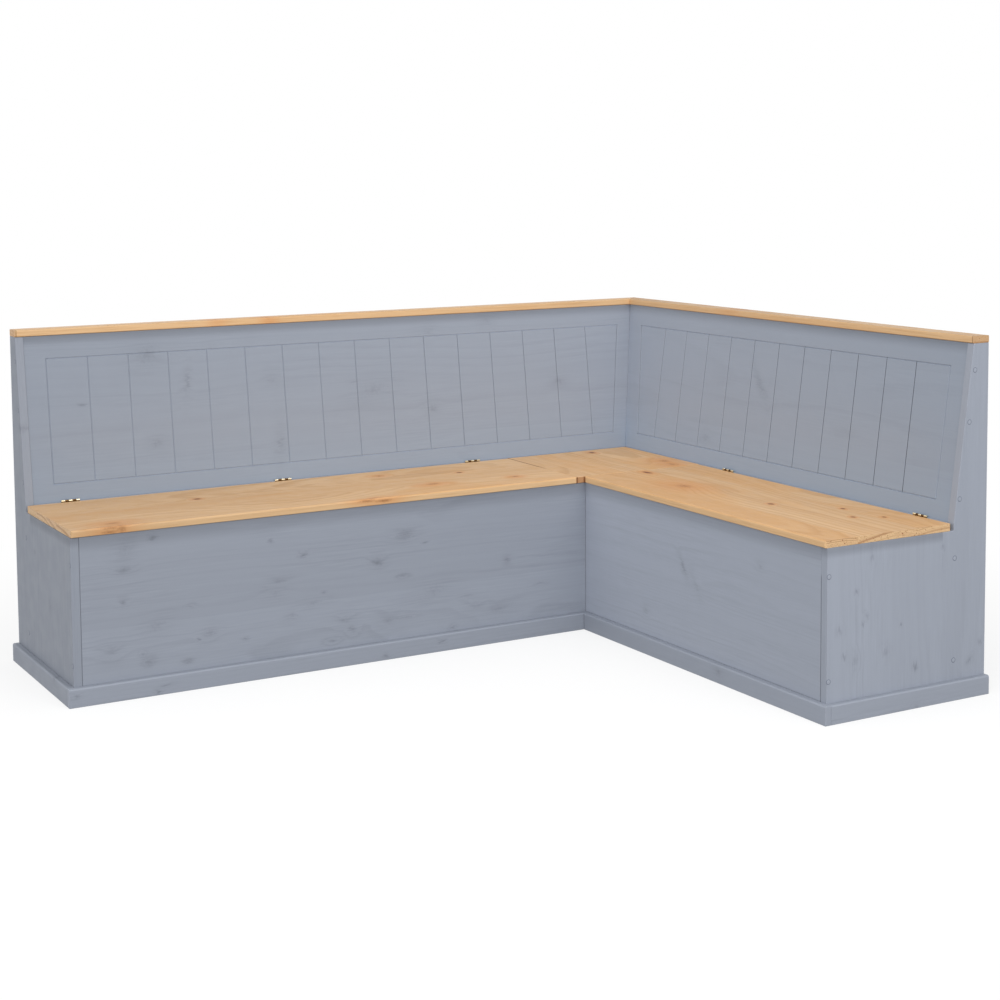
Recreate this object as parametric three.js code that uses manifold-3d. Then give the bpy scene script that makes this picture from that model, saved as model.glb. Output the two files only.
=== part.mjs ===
// A corner storage bench in painted and oiled pine. Two chest legs meet at a wall corner.
// Each has a hinged seat lid, a leaning back with V-grooved planks, a cap rail and a plinth.
// A fixed corner seat lies between the lids. Millimetres, +Z up.
//
// Each leg is built in its own frame: x runs along the leg from the wall corner, y is the depth out
// from the wall and z is up. The short leg's frame is the mirror image of the long leg's, so both
// legs share every function, and what meets at the corner is cut on the plane where x equals y.
import * as THREE from "three";
import { mergeVertices } from "three/addons/utils/BufferGeometryUtils.js";
import Module from "manifold-3d";

// Overall sizes
const height = 900;
const seatHeight = 440;
const legDepth = 505;

// The two legs. A groove margin is the bare border beside the planks: at the leg's end it is
// measured from the end panel's outer face, and at the corner from the mitre of the backs. The hinge
// insets run from the lid's ends to the middle of the nearest hinge, at the corner and at the leg's end.
const longLeg = {
  run: 2000,
  plank: 113.2,
  endPlank: 113.2,
  endMargin: 79.5,
  mitreMargin: 47,
  hinges: 3,
  hingeInsets: [120, 117],
  battens: 3,
  ribs: 2,
};
const shortLeg = {
  run: 1575,
  plank: 112,
  endPlank: 123,
  endMargin: 74.5,
  mitreMargin: 68,
  hinges: 2,
  hingeInsets: [144, 113],
  battens: 2,
  ribs: 1,
};

// Boards
const seatBoard = 18;
const panelBoard = 18;
const backBoard = 18;
const endBoard = 22;
const capBoard = 18;
const capWidth = 52;
const bottomBoard = 12;
const ribBoard = 18;
const batten = { width: 45, thickness: 18 };
const cleat = { width: 20, height: 30 };
const seamRail = { width: 40, height: 28 };
const plinth = { height: 48, thickness: 17.5, ease: 5 };
const post = 45;

// Seats
const seatOverhang = 5;
const lidEndInset = 2;
const cornerSeatOverlap = 32;
const seatCorner = 6;
const seamCorner = 2;
const frontRound = 5;
const ease = 2;
const capEase = 3;

// The leaning back
const seatBackDepth = 115;
const slopeFootSetback = 7;
const slopeTopDepth = 49;
const backSetback = 2;
const groove = { width: 3.6, depth: 2 };
const grooveFrame = { bottom: 48, top: 62 };
const slimmestPlank = 40;

// Inside the chests
const floorHeight = 50;
const battenInset = 90;
const battenShortfall = 45;

// Butt hinges
const hinge = {
  length: 50,
  leaf: 16,
  thickness: 1.2,
  play: 0.6,
  knuckle: 2.75,
  pin: 1.3,
  knuckles: 5,
  screwHole: 1.7,
  screws: 2,
};

// Clearances
const fit = 0.3;
const lidPlay = 1.8;
const mitreShift = 0.25;
const overrun = 1;

// Facets of the round stretches
const easeSegments = 4;
const knuckleSegments = 16;
const boreSegments = 12;

// Heights and depths that follow from the sizes above
const seatUnder = seatHeight - seatBoard;
const capUnder = height - capBoard;
const carcaseTop = seatUnder - fit;
const hingeGap = hinge.play + 2 * (hinge.thickness + fit);
const backPanelFront = seatBackDepth - hingeGap;
const backPanelRear = backPanelFront - panelBoard;
const frontPanelRear = legDepth - panelBoard;
const slopeFootDepth = seatBackDepth - slopeFootSetback;
const slope = (slopeFootDepth - slopeTopDepth) / (capUnder - seatHeight);
const lean = Math.atan(slope);
const backSection = backBoard / Math.cos(lean);
const seatFront = legDepth + seatOverhang;
const cornerSeatEnd = legDepth + cornerSeatOverlap;
const insideBack = backPanelFront + fit;
const insideFront = frontPanelRear - fit;
const floorTop = floorHeight + bottomBoard;

const wasm = await Module();
wasm.setup();

const finishes = {
  paint: () => new THREE.MeshStandardMaterial({ color: 0x929dab, roughness: 0.55 }),
  oiled: () => new THREE.MeshStandardMaterial({ color: 0xd3a878, roughness: 0.45 }),
  raw: () => new THREE.MeshStandardMaterial({ color: 0xdcc096, roughness: 0.8 }),
  brass: () => new THREE.MeshStandardMaterial({ color: 0xc8a55a, roughness: 0.3, metalness: 1 }),
};

function piece(name, finish, geometry) {
  const mesh = new THREE.Mesh(geometry, finishes[finish]());
  mesh.name = name;
  return mesh;
}

// A closed geometry as a solid that can be joined and cut, and back again.
function toSolid(geometry) {
  const bare = geometry.clone();
  bare.deleteAttribute("normal");
  bare.deleteAttribute("uv");
  const merged = mergeVertices(bare);
  const mesh = new wasm.Mesh({
    numProp: 3,
    vertProperties: new Float32Array(merged.getAttribute("position").array),
    triVerts: new Uint32Array(merged.index.array),
  });
  return new wasm.Manifold(mesh);
}

function toGeometry(solid) {
  const mesh = solid.getMesh();
  const geometry = new THREE.BufferGeometry();
  geometry.setAttribute("position", new THREE.BufferAttribute(mesh.vertProperties, 3));
  geometry.setIndex(new THREE.BufferAttribute(mesh.triVerts, 1));
  geometry.computeVertexNormals();
  return geometry;
}

function polygon(points) {
  return new THREE.Shape(points.map(([x, y]) => new THREE.Vector2(x, y)));
}

// A plain squared timber between two places on each axis.
function timber([x0, x1], [y0, y1], [z0, z1]) {
  const geometry = new THREE.BoxGeometry(x1 - x0, y1 - y0, z1 - z0);
  return geometry.translate((x0 + x1) / 2, (y0 + y1) / 2, (z0 + z1) / 2);
}

// A board with one section in depth and height all along the leg. Each end is a function that gives
// the place of the cut at a depth, so an end may be square or mitred.
const square = (place) => () => place;
const mitre = (depth) => depth + mitreShift;

function board(section, start, end) {
  const geometry = new THREE.ExtrudeGeometry(section, {
    depth: 1,
    bevelEnabled: false,
    curveSegments: easeSegments,
  });
  const position = geometry.getAttribute("position");
  for (let i = 0; i < position.count; i++) {
    const depth = position.getX(i);
    const up = position.getY(i);
    const place = THREE.MathUtils.lerp(start(depth), end(depth), position.getZ(i));
    position.setXYZ(i, place, depth, up);
  }
  geometry.computeVertexNormals();
  return geometry;
}

function rectangle([x0, x1], [y0, y1]) {
  return polygon([
    [x0, y0],
    [x1, y0],
    [x1, y1],
    [x0, y1],
  ]);
}

// A rectangle with its corners rounded, each by its own radius: low right, high right, high left and
// low left.
function rounded([x0, x1], [y0, y1], [lowRight, highRight, highLeft, lowLeft]) {
  const shape = new THREE.Shape();
  shape.absarc(x1 - lowRight, y0 + lowRight, lowRight, -Math.PI / 2, 0);
  shape.absarc(x1 - highRight, y1 - highRight, highRight, 0, Math.PI / 2);
  shape.absarc(x0 + highLeft, y1 - highLeft, highLeft, Math.PI / 2, Math.PI);
  shape.absarc(x0 + lowLeft, y0 + lowLeft, lowLeft, Math.PI, 1.5 * Math.PI);
  return shape;
}

// A seat board: its eased section run along the leg, then cut to its outline in plan. The front's upper
// edge has a rounding of its own, and so have the corners at the start and at the end of the span.
function seat(span, depths, frontEdge, [startCorner, endCorner]) {
  const section = rounded(depths, [seatUnder, seatHeight], [ease, frontEdge, ease, ease]);
  const run = board(section, square(span[0] - overrun), square(span[1] + overrun));
  const corners = [endCorner, endCorner, startCorner, startCorner];
  const plan = new THREE.ExtrudeGeometry(rounded(span, depths, corners), {
    depth: seatBoard + 2 * overrun,
    bevelEnabled: false,
    curveSegments: easeSegments,
  });
  plan.translate(0, 0, seatUnder - overrun);
  return toGeometry(toSolid(run).intersect(toSolid(plan)));
}

// The plinth's section, across its thickness, with its outer top edge rounded over.
function plinthSection(face) {
  const outer = face + plinth.thickness;
  const shape = new THREE.Shape();
  shape.moveTo(face + fit, 0);
  shape.lineTo(outer, 0);
  shape.absarc(outer - plinth.ease, plinth.height - plinth.ease, plinth.ease, 0, Math.PI / 2);
  shape.lineTo(face + fit, plinth.height);
  return shape;
}

// The depth of the back's face, and of the sloping edges of the end panels, at a height.
const edgeDepth = (up) => slopeFootDepth - (up - seatHeight) * slope;
const faceDepth = (up) => edgeDepth(up) - backSetback;

// The end panel: full depth below the seat, a shoulder behind the lid, and a sloping upright above.
function endPanel(leg) {
  const top = capUnder - fit;
  const outline = polygon([
    [0, 0],
    [legDepth, 0],
    [legDepth, carcaseTop],
    [slopeFootDepth, carcaseTop],
    [slopeFootDepth, seatHeight],
    [edgeDepth(top), top],
    [0, top],
  ]);
  return board(outline, square(leg.run - endBoard), square(leg.run));
}

// A V-groove's cutter, between two points of the back's face.
function grooveCutter(from, to) {
  const along = to.clone().sub(from).normalize();
  const out = new THREE.Vector3(0, Math.cos(lean), Math.sin(lean));
  const across = out.clone().cross(along);
  const mouth = (groove.width / 2) * (1 + overrun / groove.depth);
  const section = polygon([
    [0, -groove.depth],
    [mouth, overrun],
    [-mouth, overrun],
  ]);
  const length = from.distanceTo(to) + groove.width;
  const cutter = new THREE.ExtrudeGeometry(section, { depth: length, bevelEnabled: false });
  cutter.translate(0, 0, -groove.width / 2);
  const place = new THREE.Matrix4().makeBasis(across, out, along).setPosition(from);
  return toSolid(cutter.applyMatrix4(place));
}

// The leaning back: one wide panel, mitred at the corner, with a grooved frame round grooved planks.
function backrest(leg) {
  const foot = seatHeight + fit;
  const top = capUnder - fit;
  const section = polygon([
    [faceDepth(foot) - backSection, foot],
    [faceDepth(foot), foot],
    [faceDepth(top), top],
    [faceDepth(top) - backSection, top],
  ]);
  let panel = toSolid(board(section, mitre, square(leg.run - endBoard - fit)));
  const low = seatHeight + grooveFrame.bottom;
  const high = capUnder - grooveFrame.top;
  const onFace = (place, up) => new THREE.Vector3(place, faceDepth(up), up);
  const outer = leg.run - leg.endMargin;
  const inner = (up) => faceDepth(up) + leg.mitreMargin;
  const lines = [
    [onFace(outer, low), onFace(outer, high)],
    [onFace(inner(low), low), onFace(inner(high), high)],
    [onFace(inner(low), low), onFace(outer, low)],
    [onFace(inner(high), high), onFace(outer, high)],
  ];
  for (let place = outer - leg.endPlank; place > inner(low) + slimmestPlank; place -= leg.plank) {
    lines.push([onFace(place, low), onFace(place, high)]);
  }
  for (const [from, to] of lines) {
    panel = panel.subtract(grooveCutter(from, to));
  }
  return toGeometry(panel);
}

// A rib behind the back, from the floor to the cap, shaped to the back panel and the leaning back.
function rib(centre) {
  const top = capUnder - fit;
  const rear = (up) => faceDepth(up) - backSection - fit;
  const outline = polygon([
    [0, 0],
    [backPanelRear - fit, 0],
    [backPanelRear - fit, seatHeight],
    [rear(seatHeight), seatHeight],
    [rear(top), top],
    [0, top],
  ]);
  return board(outline, square(centre - ribBoard / 2), square(centre + ribBoard / 2));
}

// Places spread evenly between two ends, the first and the last on them.
function spread(count, first, last) {
  return Array.from({ length: count }, (_, i) => THREE.MathUtils.lerp(first, last, i / (count - 1)));
}

function rod(radius, length, segments) {
  const geometry = new THREE.CylinderGeometry(radius, radius, length, segments);
  return geometry.rotateZ(Math.PI / 2);
}

// One leaf of a butt hinge about its pin, standing in the gap behind the lid. Side is 1 for the leaf
// on the lid's rear edge and -1 for the leaf on the back panel.
function hingeLeaf(side, isOwnKnuckle) {
  const near = (side * hinge.play) / 2;
  const far = side * (hinge.play / 2 + hinge.thickness);
  const across = [Math.min(near, far), Math.max(near, far)];
  const leafTop = -(hinge.knuckle + fit);
  const half = hinge.length / 2;
  const pitch = hinge.length / hinge.knuckles;
  let leaf = toSolid(timber([-half, half], across, [leafTop - hinge.leaf, leafTop]));
  for (let i = 0; i < hinge.knuckles; i++) {
    if (!isOwnKnuckle(i)) {
      continue;
    }
    const span = [-half + i * pitch + fit / 2, -half + (i + 1) * pitch - fit / 2];
    const barrel = rod(hinge.knuckle, span[1] - span[0], knuckleSegments);
    barrel.translate((span[0] + span[1]) / 2, 0, 0);
    leaf = leaf.add(toSolid(barrel));
    leaf = leaf.add(toSolid(timber(span, across, [leafTop - overrun, 0])));
  }
  leaf = leaf.subtract(toSolid(rod(hinge.pin + fit, hinge.length + overrun, boreSegments)));
  for (const place of spread(hinge.screws, -half + pitch, half - pitch)) {
    const reach = 2 * (hinge.thickness + hinge.play + overrun);
    const hole = new THREE.CylinderGeometry(hinge.screwHole, hinge.screwHole, reach, boreSegments);
    hole.translate(place, (near + far) / 2, leafTop - hinge.leaf / 2);
    leaf = leaf.subtract(toSolid(hole));
  }
  return toGeometry(leaf);
}

// A hinge: a leaf with the outer and middle knuckles on the back panel, a leaf with the others on the
// lid, and the pin through all of them.
function hingeSet(prefix, place) {
  const set = new THREE.Group();
  set.position.set(place, seatBackDepth - hingeGap / 2, seatHeight + hinge.knuckle + fit);
  const fixed = hingeLeaf(-1, (i) => i % 2 === 0);
  const moving = hingeLeaf(1, (i) => i % 2 === 1);
  set.add(piece(prefix + "_fixed_leaf", "brass", fixed));
  set.add(piece(prefix + "_lid_leaf", "brass", moving));
  set.add(piece(prefix + "_pin", "brass", rod(hinge.pin, hinge.length, boreSegments)));
  return set;
}

// Everything that both legs have, for one of them.
function buildLeg(name, leg, lidStart) {
  const group = new THREE.Group();
  const add = (node, finish, geometry) => group.add(piece(name + "_" + node, finish, geometry));
  const insideEnd = leg.run - endBoard - fit;
  const alongInside = [legDepth + fit, insideEnd];
  const lidSpan = [lidStart, leg.run - lidEndInset];

  add("end_panel", "paint", endPanel(leg));
  add("front_panel", "paint", timber(alongInside, [frontPanelRear, legDepth], [0, carcaseTop]));
  const backPanel = rectangle([backPanelRear, backPanelFront], [0, seatHeight]);
  add("back_panel", "paint", board(backPanel, mitre, square(insideEnd)));
  add("backrest", "paint", backrest(leg));
  const cap = rounded([0, capWidth], [capUnder, height], Array(4).fill(capEase));
  add("cap_rail", "oiled", board(cap, mitre, square(leg.run)));
  const frontPlinth = board(plinthSection(legDepth), mitre, square(leg.run + plinth.thickness));
  add("front_plinth", "paint", frontPlinth);
  const endPlinth = new THREE.ExtrudeGeometry(plinthSection(leg.run), {
    depth: legDepth,
    bevelEnabled: false,
    curveSegments: easeSegments,
  });
  endPlinth.rotateX(Math.PI / 2).translate(0, legDepth, 0);
  add("end_plinth", "paint", endPlinth);

  const lid = seat(lidSpan, [seatBackDepth, seatFront], frontRound, [seamCorner, seatCorner]);
  add("lid", "oiled", lid);
  const battenDepths = [seatBackDepth + battenShortfall, frontPanelRear - battenShortfall];
  const battenUp = [carcaseTop - batten.thickness, carcaseTop];
  const battens = spread(leg.battens, lidSpan[0] + battenInset, lidSpan[1] - battenInset);
  battens.forEach((centre, i) => {
    const width = [centre - batten.width / 2, centre + batten.width / 2];
    add("lid_batten_" + (i + 1), "raw", timber(width, battenDepths, battenUp));
  });
  const [cornerInset, endInset] = leg.hingeInsets;
  const hinges = spread(leg.hinges, lidSpan[0] + cornerInset, lidSpan[1] - endInset);
  hinges.forEach((place, i) => group.add(hingeSet(name + "_hinge_" + (i + 1), place)));

  const cleatUp = [floorHeight - fit - cleat.height, floorHeight - fit];
  const backCleat = [insideBack, insideBack + cleat.width];
  const pastPost = insideBack + post + fit;
  add("back_floor_cleat", "raw", timber([pastPost, insideEnd], backCleat, cleatUp));
  const frontCleat = [insideFront - cleat.width, insideFront];
  add("front_floor_cleat", "raw", timber(alongInside, frontCleat, cleatUp));
  for (let i = 1; i <= leg.ribs; i++) {
    add("back_rib_" + i, "paint", rib((leg.run * i) / (leg.ribs + 1)));
  }
  return group;
}

// A bottom board, notched round the posts that it meets.
function bottom(outline) {
  const geometry = new THREE.ExtrudeGeometry(polygon(outline), {
    depth: bottomBoard,
    bevelEnabled: false,
  });
  return geometry.translate(0, 0, floorHeight);
}

const postNear = legDepth - post;
const backPost = [insideBack, insideBack + post];
const cornerPost = [postNear, legDepth];
const pastBackPost = insideBack + post + fit;
const cleatDepths = [insideBack, insideBack + cleat.width];
const seatCleatUp = [carcaseTop - cleat.height, carcaseTop];
const seamRailUp = [carcaseTop - seamRail.height, carcaseTop];

// The long leg, with what stands at the corner: both posts, the corner seat and the floor under it.
const long = buildLeg("long", longLeg, cornerSeatEnd + lidPlay / 2);
long.rotation.z = Math.PI;
const longInsideEnd = longLeg.run - endBoard - fit;
const cornerSeatSpan = [insideBack, cornerSeatEnd - lidPlay / 2];
const seamCorners = [seamCorner, seamCorner];
const cornerSeat = seat(cornerSeatSpan, [insideBack, seatFront], ease, seamCorners);
long.add(piece("corner_seat", "oiled", cornerSeat));
long.add(piece("inner_corner_post", "paint", timber(cornerPost, cornerPost, [0, carcaseTop])));
long.add(piece("back_corner_post", "raw", timber(backPost, backPost, [0, carcaseTop])));
const longSeam = [cornerSeatEnd - seamRail.width / 2, cornerSeatEnd + seamRail.width / 2];
long.add(piece("long_seam_rail", "raw", timber(longSeam, [insideBack, insideFront], seamRailUp)));
const longSeatCleat = timber([pastBackPost, longSeam[0] - fit], cleatDepths, seatCleatUp);
long.add(piece("corner_seat_long_cleat", "raw", longSeatCleat));
const longBottom = bottom([
  [pastBackPost, insideBack],
  [longInsideEnd, insideBack],
  [longInsideEnd, insideFront],
  [legDepth + fit, insideFront],
  [legDepth + fit, postNear - fit],
  [postNear - fit, postNear - fit],
  [postNear - fit, insideFront],
  [insideBack, insideFront],
  [insideBack, pastBackPost],
  [pastBackPost, pastBackPost],
]);
long.add(piece("long_bottom_board", "raw", longBottom));

// The short leg, whose bottom board starts at the long one's front edge, over a bearer.
const short = buildLeg("short", shortLeg, seatFront + lidPlay);
short.scale.y = -1;
short.rotation.z = -Math.PI / 2;
const shortInsideEnd = shortLeg.run - endBoard - fit;
const shortSeam = [seatFront - seamRail.width / 2, seatFront + seamRail.width / 2];
const toPost = [insideBack, postNear - fit];
short.add(piece("short_seam_rail", "raw", timber(shortSeam, toPost, seamRailUp)));
const shortSeatCleat = timber([pastBackPost, shortSeam[0] - fit], cleatDepths, seatCleatUp);
short.add(piece("corner_seat_short_cleat", "raw", shortSeatCleat));
const bearerSpan = [insideFront - seamRail.width / 2, insideFront + seamRail.width / 2];
const bearerDepths = [cleatDepths[1] + fit, postNear - fit];
const bearerUp = [floorHeight - fit - cleat.height, floorHeight - fit];
short.add(piece("corner_floor_bearer", "raw", timber(bearerSpan, bearerDepths, bearerUp)));
const shortBottomStart = insideFront + fit;
const shortBottom = bottom([
  [shortBottomStart, insideBack],
  [shortInsideEnd, insideBack],
  [shortInsideEnd, insideFront],
  [legDepth + fit, insideFront],
  [legDepth + fit, postNear - fit],
  [shortBottomStart, postNear - fit],
]);
short.add(piece("short_bottom_board", "raw", shortBottom));

// The bench, with its origin under the middle of its bounding box.
const bench = new THREE.Group();
bench.add(long, short);
bench.position.set((longLeg.run + plinth.thickness) / 2, (shortLeg.run + plinth.thickness) / 2, 0);

export default bench;
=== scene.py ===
"""Corner storage bench of painted pine, with oiled pine seats and cap rails and brass butt hinges.

Everything is in metres in the bench's own frame, with Z up. The long leg runs along X against the
rear wall and the short leg along Y against the right wall. Both lids are hinged at their backs.
"""
import logging
import math
import random
from collections.abc import Iterable, Sequence
from dataclasses import dataclass
from enum import Enum

import bmesh
import bpy
from mathutils import Matrix, Vector


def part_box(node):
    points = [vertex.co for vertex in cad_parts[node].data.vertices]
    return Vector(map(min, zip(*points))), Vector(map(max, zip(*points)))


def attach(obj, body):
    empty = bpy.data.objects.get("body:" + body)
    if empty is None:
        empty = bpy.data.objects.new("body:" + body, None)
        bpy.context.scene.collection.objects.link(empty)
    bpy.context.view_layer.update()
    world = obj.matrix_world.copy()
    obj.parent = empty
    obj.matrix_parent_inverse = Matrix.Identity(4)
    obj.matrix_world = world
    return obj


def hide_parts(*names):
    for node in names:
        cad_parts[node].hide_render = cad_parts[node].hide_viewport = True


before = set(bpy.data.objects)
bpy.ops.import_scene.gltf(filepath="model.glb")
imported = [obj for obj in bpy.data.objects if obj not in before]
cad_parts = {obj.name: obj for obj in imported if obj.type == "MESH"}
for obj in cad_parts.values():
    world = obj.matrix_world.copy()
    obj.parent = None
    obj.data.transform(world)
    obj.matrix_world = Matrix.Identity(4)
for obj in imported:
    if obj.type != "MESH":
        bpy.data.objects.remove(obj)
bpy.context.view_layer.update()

MILLIMETRE = 0.001
LOG = logging.getLogger("corner_bench")

Pair = tuple[float, float]
Triple = tuple[float, float, float]
Piece = bpy.types.Object
Material = bpy.types.Material
Shape = bmesh.types.BMesh
Ring = list[bmesh.types.BMVert]


class Body(Enum):
    """The three bodies that pieces ride on."""

    FRAME = "frame"
    LONG_LID = "long_lid"
    SHORT_LID = "short_lid"


class Slot(Enum):
    """The finishes that the record names."""

    PAINT = "paint"
    OILED = "oiled_pine"
    RAW = "raw_pine"
    BRASS = "brass"


class Grain(Enum):
    """Which axes of the frame run along a board's fibres, across its face and through it."""

    LONG_UPRIGHT = (0, 2, 1)
    LONG_FLAT = (0, 1, 2)
    SHORT_UPRIGHT = (1, 2, 0)
    SHORT_FLAT = (1, 0, 2)
    UP_FACING_Y = (2, 0, 1)
    UP_FACING_X = (2, 1, 0)


@dataclass(frozen=True)
class Leg:
    """One leg of the bench: its lid's body, and how the grain of its boards lies.

    Its boards run along it on edge or flat, up its end, and across it on edge or flat.
    """

    name: str
    lid: Body
    upright: Grain
    flat: Grain
    end: Grain
    cross_upright: Grain
    cross_flat: Grain

    def node(self, part: str) -> str:
        """The name of one of the leg's parts."""
        return f"{self.name}_{part}"


LONG_LEG = Leg(
    "long", Body.LONG_LID, Grain.LONG_UPRIGHT, Grain.LONG_FLAT, Grain.UP_FACING_X,
    Grain.SHORT_UPRIGHT, Grain.SHORT_FLAT,
)
SHORT_LEG = Leg(
    "short", Body.SHORT_LID, Grain.SHORT_UPRIGHT, Grain.SHORT_FLAT, Grain.UP_FACING_Y,
    Grain.LONG_UPRIGHT, Grain.LONG_FLAT,
)


@dataclass(frozen=True)
class Tint:
    """A colour as it is seen, each part from 0 to 255."""

    red: float
    green: float
    blue: float

    def linear(self) -> tuple[float, float, float, float]:
        """The colour in linear light, opaque."""
        parts = [self._lifted(part / 255) for part in (self.red, self.green, self.blue)]
        return (parts[0], parts[1], parts[2], 1.0)

    @staticmethod
    def _lifted(part: float) -> float:
        """One part of the colour taken from the screen's curve to linear light."""
        return part / 12.92 if part <= 0.04045 else ((part + 0.055) / 1.055) ** 2.4


Socket = bpy.types.NodeSocket
Feed = Socket | Tint | float | Sequence[float]


class Recipe:
    """Lays out nodes in one tree. Each method adds a node and gives back its result.

    A node is fed with other nodes' results, tints and constants.
    """

    def __init__(self, tree: bpy.types.NodeTree) -> None:
        """Starts on an empty tree.

        Args:
            tree: The node tree of a material, a world or a group.
        """
        self.tree = tree
        tree.nodes.clear()

    def node(self, kind: str, feeds: dict[str | int, Feed], **settings: str | bool) -> bpy.types.Node:
        """Adds a node, sets it up and feeds its inputs.

        Args:
            kind: The node's type name.
            feeds: What goes into each input, by name or place: another node's result or a constant.
            **settings: The node's own options.

        Returns:
            The new node.
        """
        made = self.tree.nodes.new(kind)
        for name, value in settings.items():
            setattr(made, name, value)
        for place, feed in feeds.items():
            self.feed(made.inputs[place], feed)
        return made

    def feed(self, entry: Socket, feed: Feed) -> None:
        """Links a result to an input, or sets the input to a tint or a constant.

        Args:
            entry: The input.
            feed: What goes into it.
        """
        if isinstance(feed, bpy.types.NodeSocket):
            self.tree.links.new(feed, entry)
        else:
            entry.default_value = feed.linear() if isinstance(feed, Tint) else feed

    def math(self, operation: str, *feeds: Feed) -> Socket:
        """One sum on numbers."""
        return self.node("ShaderNodeMath", dict(enumerate(feeds)), operation=operation).outputs[0]

    def times(self, first: Feed, second: Feed) -> Socket:
        """Two numbers multiplied."""
        return self.math("MULTIPLY", first, second)

    def plus(self, first: Feed, second: Feed) -> Socket:
        """Two numbers added."""
        return self.math("ADD", first, second)

    def less(self, first: Feed, second: Feed) -> Socket:
        """The first number less the second."""
        return self.math("SUBTRACT", first, second)

    def over(self, first: Feed, second: Feed) -> Socket:
        """The first number divided by the second."""
        return self.math("DIVIDE", first, second)

    def times_plus(self, value: Feed, factor: Feed, base: Feed) -> Socket:
        """A value times a factor, added to a base."""
        return self.math("MULTIPLY_ADD", value, factor, base)

    def size_of(self, value: Feed) -> Socket:
        """A number without its sign."""
        return self.math("ABSOLUTE", value)

    def centred(self, value: Feed) -> Socket:
        """A value about a half, taken to about nothing."""
        return self.less(value, 0.5)

    def vector(self, operation: str, *feeds: Feed) -> Socket:
        """One sum on vectors."""
        return self.node("ShaderNodeVectorMath", dict(enumerate(feeds)), operation=operation).outputs[0]

    def stretched(self, place: Feed, scales: Feed) -> Socket:
        """A place with each of its parts scaled on its own."""
        return self.vector("MULTIPLY", place, scales)

    def length(self, vector: Feed) -> Socket:
        """How long a vector is."""
        return self.node("ShaderNodeVectorMath", {0: vector}, operation="LENGTH").outputs[1]

    def dimmed(self, colour: Feed, share: Feed) -> Socket:
        """A colour with all its parts scaled alike."""
        feeds = {0: colour, "Scale": share}
        return self.node("ShaderNodeVectorMath", feeds, operation="SCALE").outputs[0]

    def parts(self, vector: Feed) -> tuple[Socket, Socket, Socket]:
        """The three parts of a vector."""
        made = self.node("ShaderNodeSeparateXYZ", {0: vector})
        return (made.outputs[0], made.outputs[1], made.outputs[2])

    def joined(self, x: Feed, y: Feed, z: Feed) -> Socket:
        """A vector made of three parts."""
        return self.node("ShaderNodeCombineXYZ", {0: x, 1: y, 2: z}).outputs[0]

    def span(self, value: Feed, low: float, high: float, start: Feed = 0.0, end: Feed = 1.0) -> Socket:
        """Eases a value from one range into another, and holds it at the ends.

        Args:
            value: What is eased.
            low: Where the change starts.
            high: Where the change is complete.
            start: The result at low.
            end: The result at high.

        Returns:
            The eased value.
        """
        feeds = {0: value, 1: low, 2: high, 3: start, 4: end}
        made = self.node("ShaderNodeMapRange", feeds, interpolation_type="SMOOTHSTEP")
        return made.outputs[0]

    def noise(self, place: Feed, scale: float, detail: float = 2.0) -> Socket:
        """Soft noise in space, about a half on average."""
        feeds = {"Vector": place, "Scale": scale, "Detail": detail}
        return self.node("ShaderNodeTexNoise", feeds, noise_dimensions="3D").outputs[0]

    def line_noise(self, place: Feed, scale: float, detail: float = 1.0) -> Socket:
        """Soft noise along one number, about a half on average."""
        feeds = {"W": place, "Scale": scale, "Detail": detail}
        return self.node("ShaderNodeTexNoise", feeds, noise_dimensions="1D").outputs[0]

    def pick(self, number: Feed) -> tuple[Socket, Socket, Socket]:
        """Three steady picks for a whole number.

        Args:
            number: The whole number.

        Returns:
            The picks, each from 0 to 1.
        """
        made = self.node("ShaderNodeTexWhiteNoise", {"W": number}, noise_dimensions="1D")
        split = self.node("ShaderNodeSeparateColor", {0: made.outputs["Color"]})
        return (split.outputs[0], split.outputs[1], split.outputs[2])

    def mixed(self, share: Feed, first: Feed, second: Feed) -> Socket:
        """A colour between two others.

        Args:
            share: How much of the second colour there is, from 0 to 1.
            first: The first colour.
            second: The second colour.

        Returns:
            The mixed colour.
        """
        made = self.tree.nodes.new("ShaderNodeMix")
        made.data_type = "RGBA"
        for place, feed in ((0, share), (6, first), (7, second)):
            self.feed(made.inputs[place], feed)
        return made.outputs[2]

    def place(self) -> Socket:
        """The surface's own place in the piece's frame, in metres."""
        return self.node("ShaderNodeTexCoord", {}).outputs["Object"]

    def facing(self) -> tuple[Socket, Socket, Socket]:
        """Which way the surface faces, in the piece's own frame."""
        return self.parts(self.node("ShaderNodeTexCoord", {}).outputs["Normal"])

    def bump(self, height: Feed, depth: float) -> Socket:
        """A surface's relief, with its depth in metres."""
        return self.node("ShaderNodeBump", {"Height": height, "Distance": depth}).outputs[0]


@dataclass(frozen=True)
class Knot:
    """A knot in a board, at its place along and across it.

    Its turn is in radians in the board's face. A knot of some thickness lies at a place through the
    board, and any other goes right through it.
    """

    along: float
    across: float
    radius: float = 0.007
    stretch: float = 1.3
    turn: float = 0.0
    depth: float = 1.0
    through: float = 0.0
    thick: float = 1000.0


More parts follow.
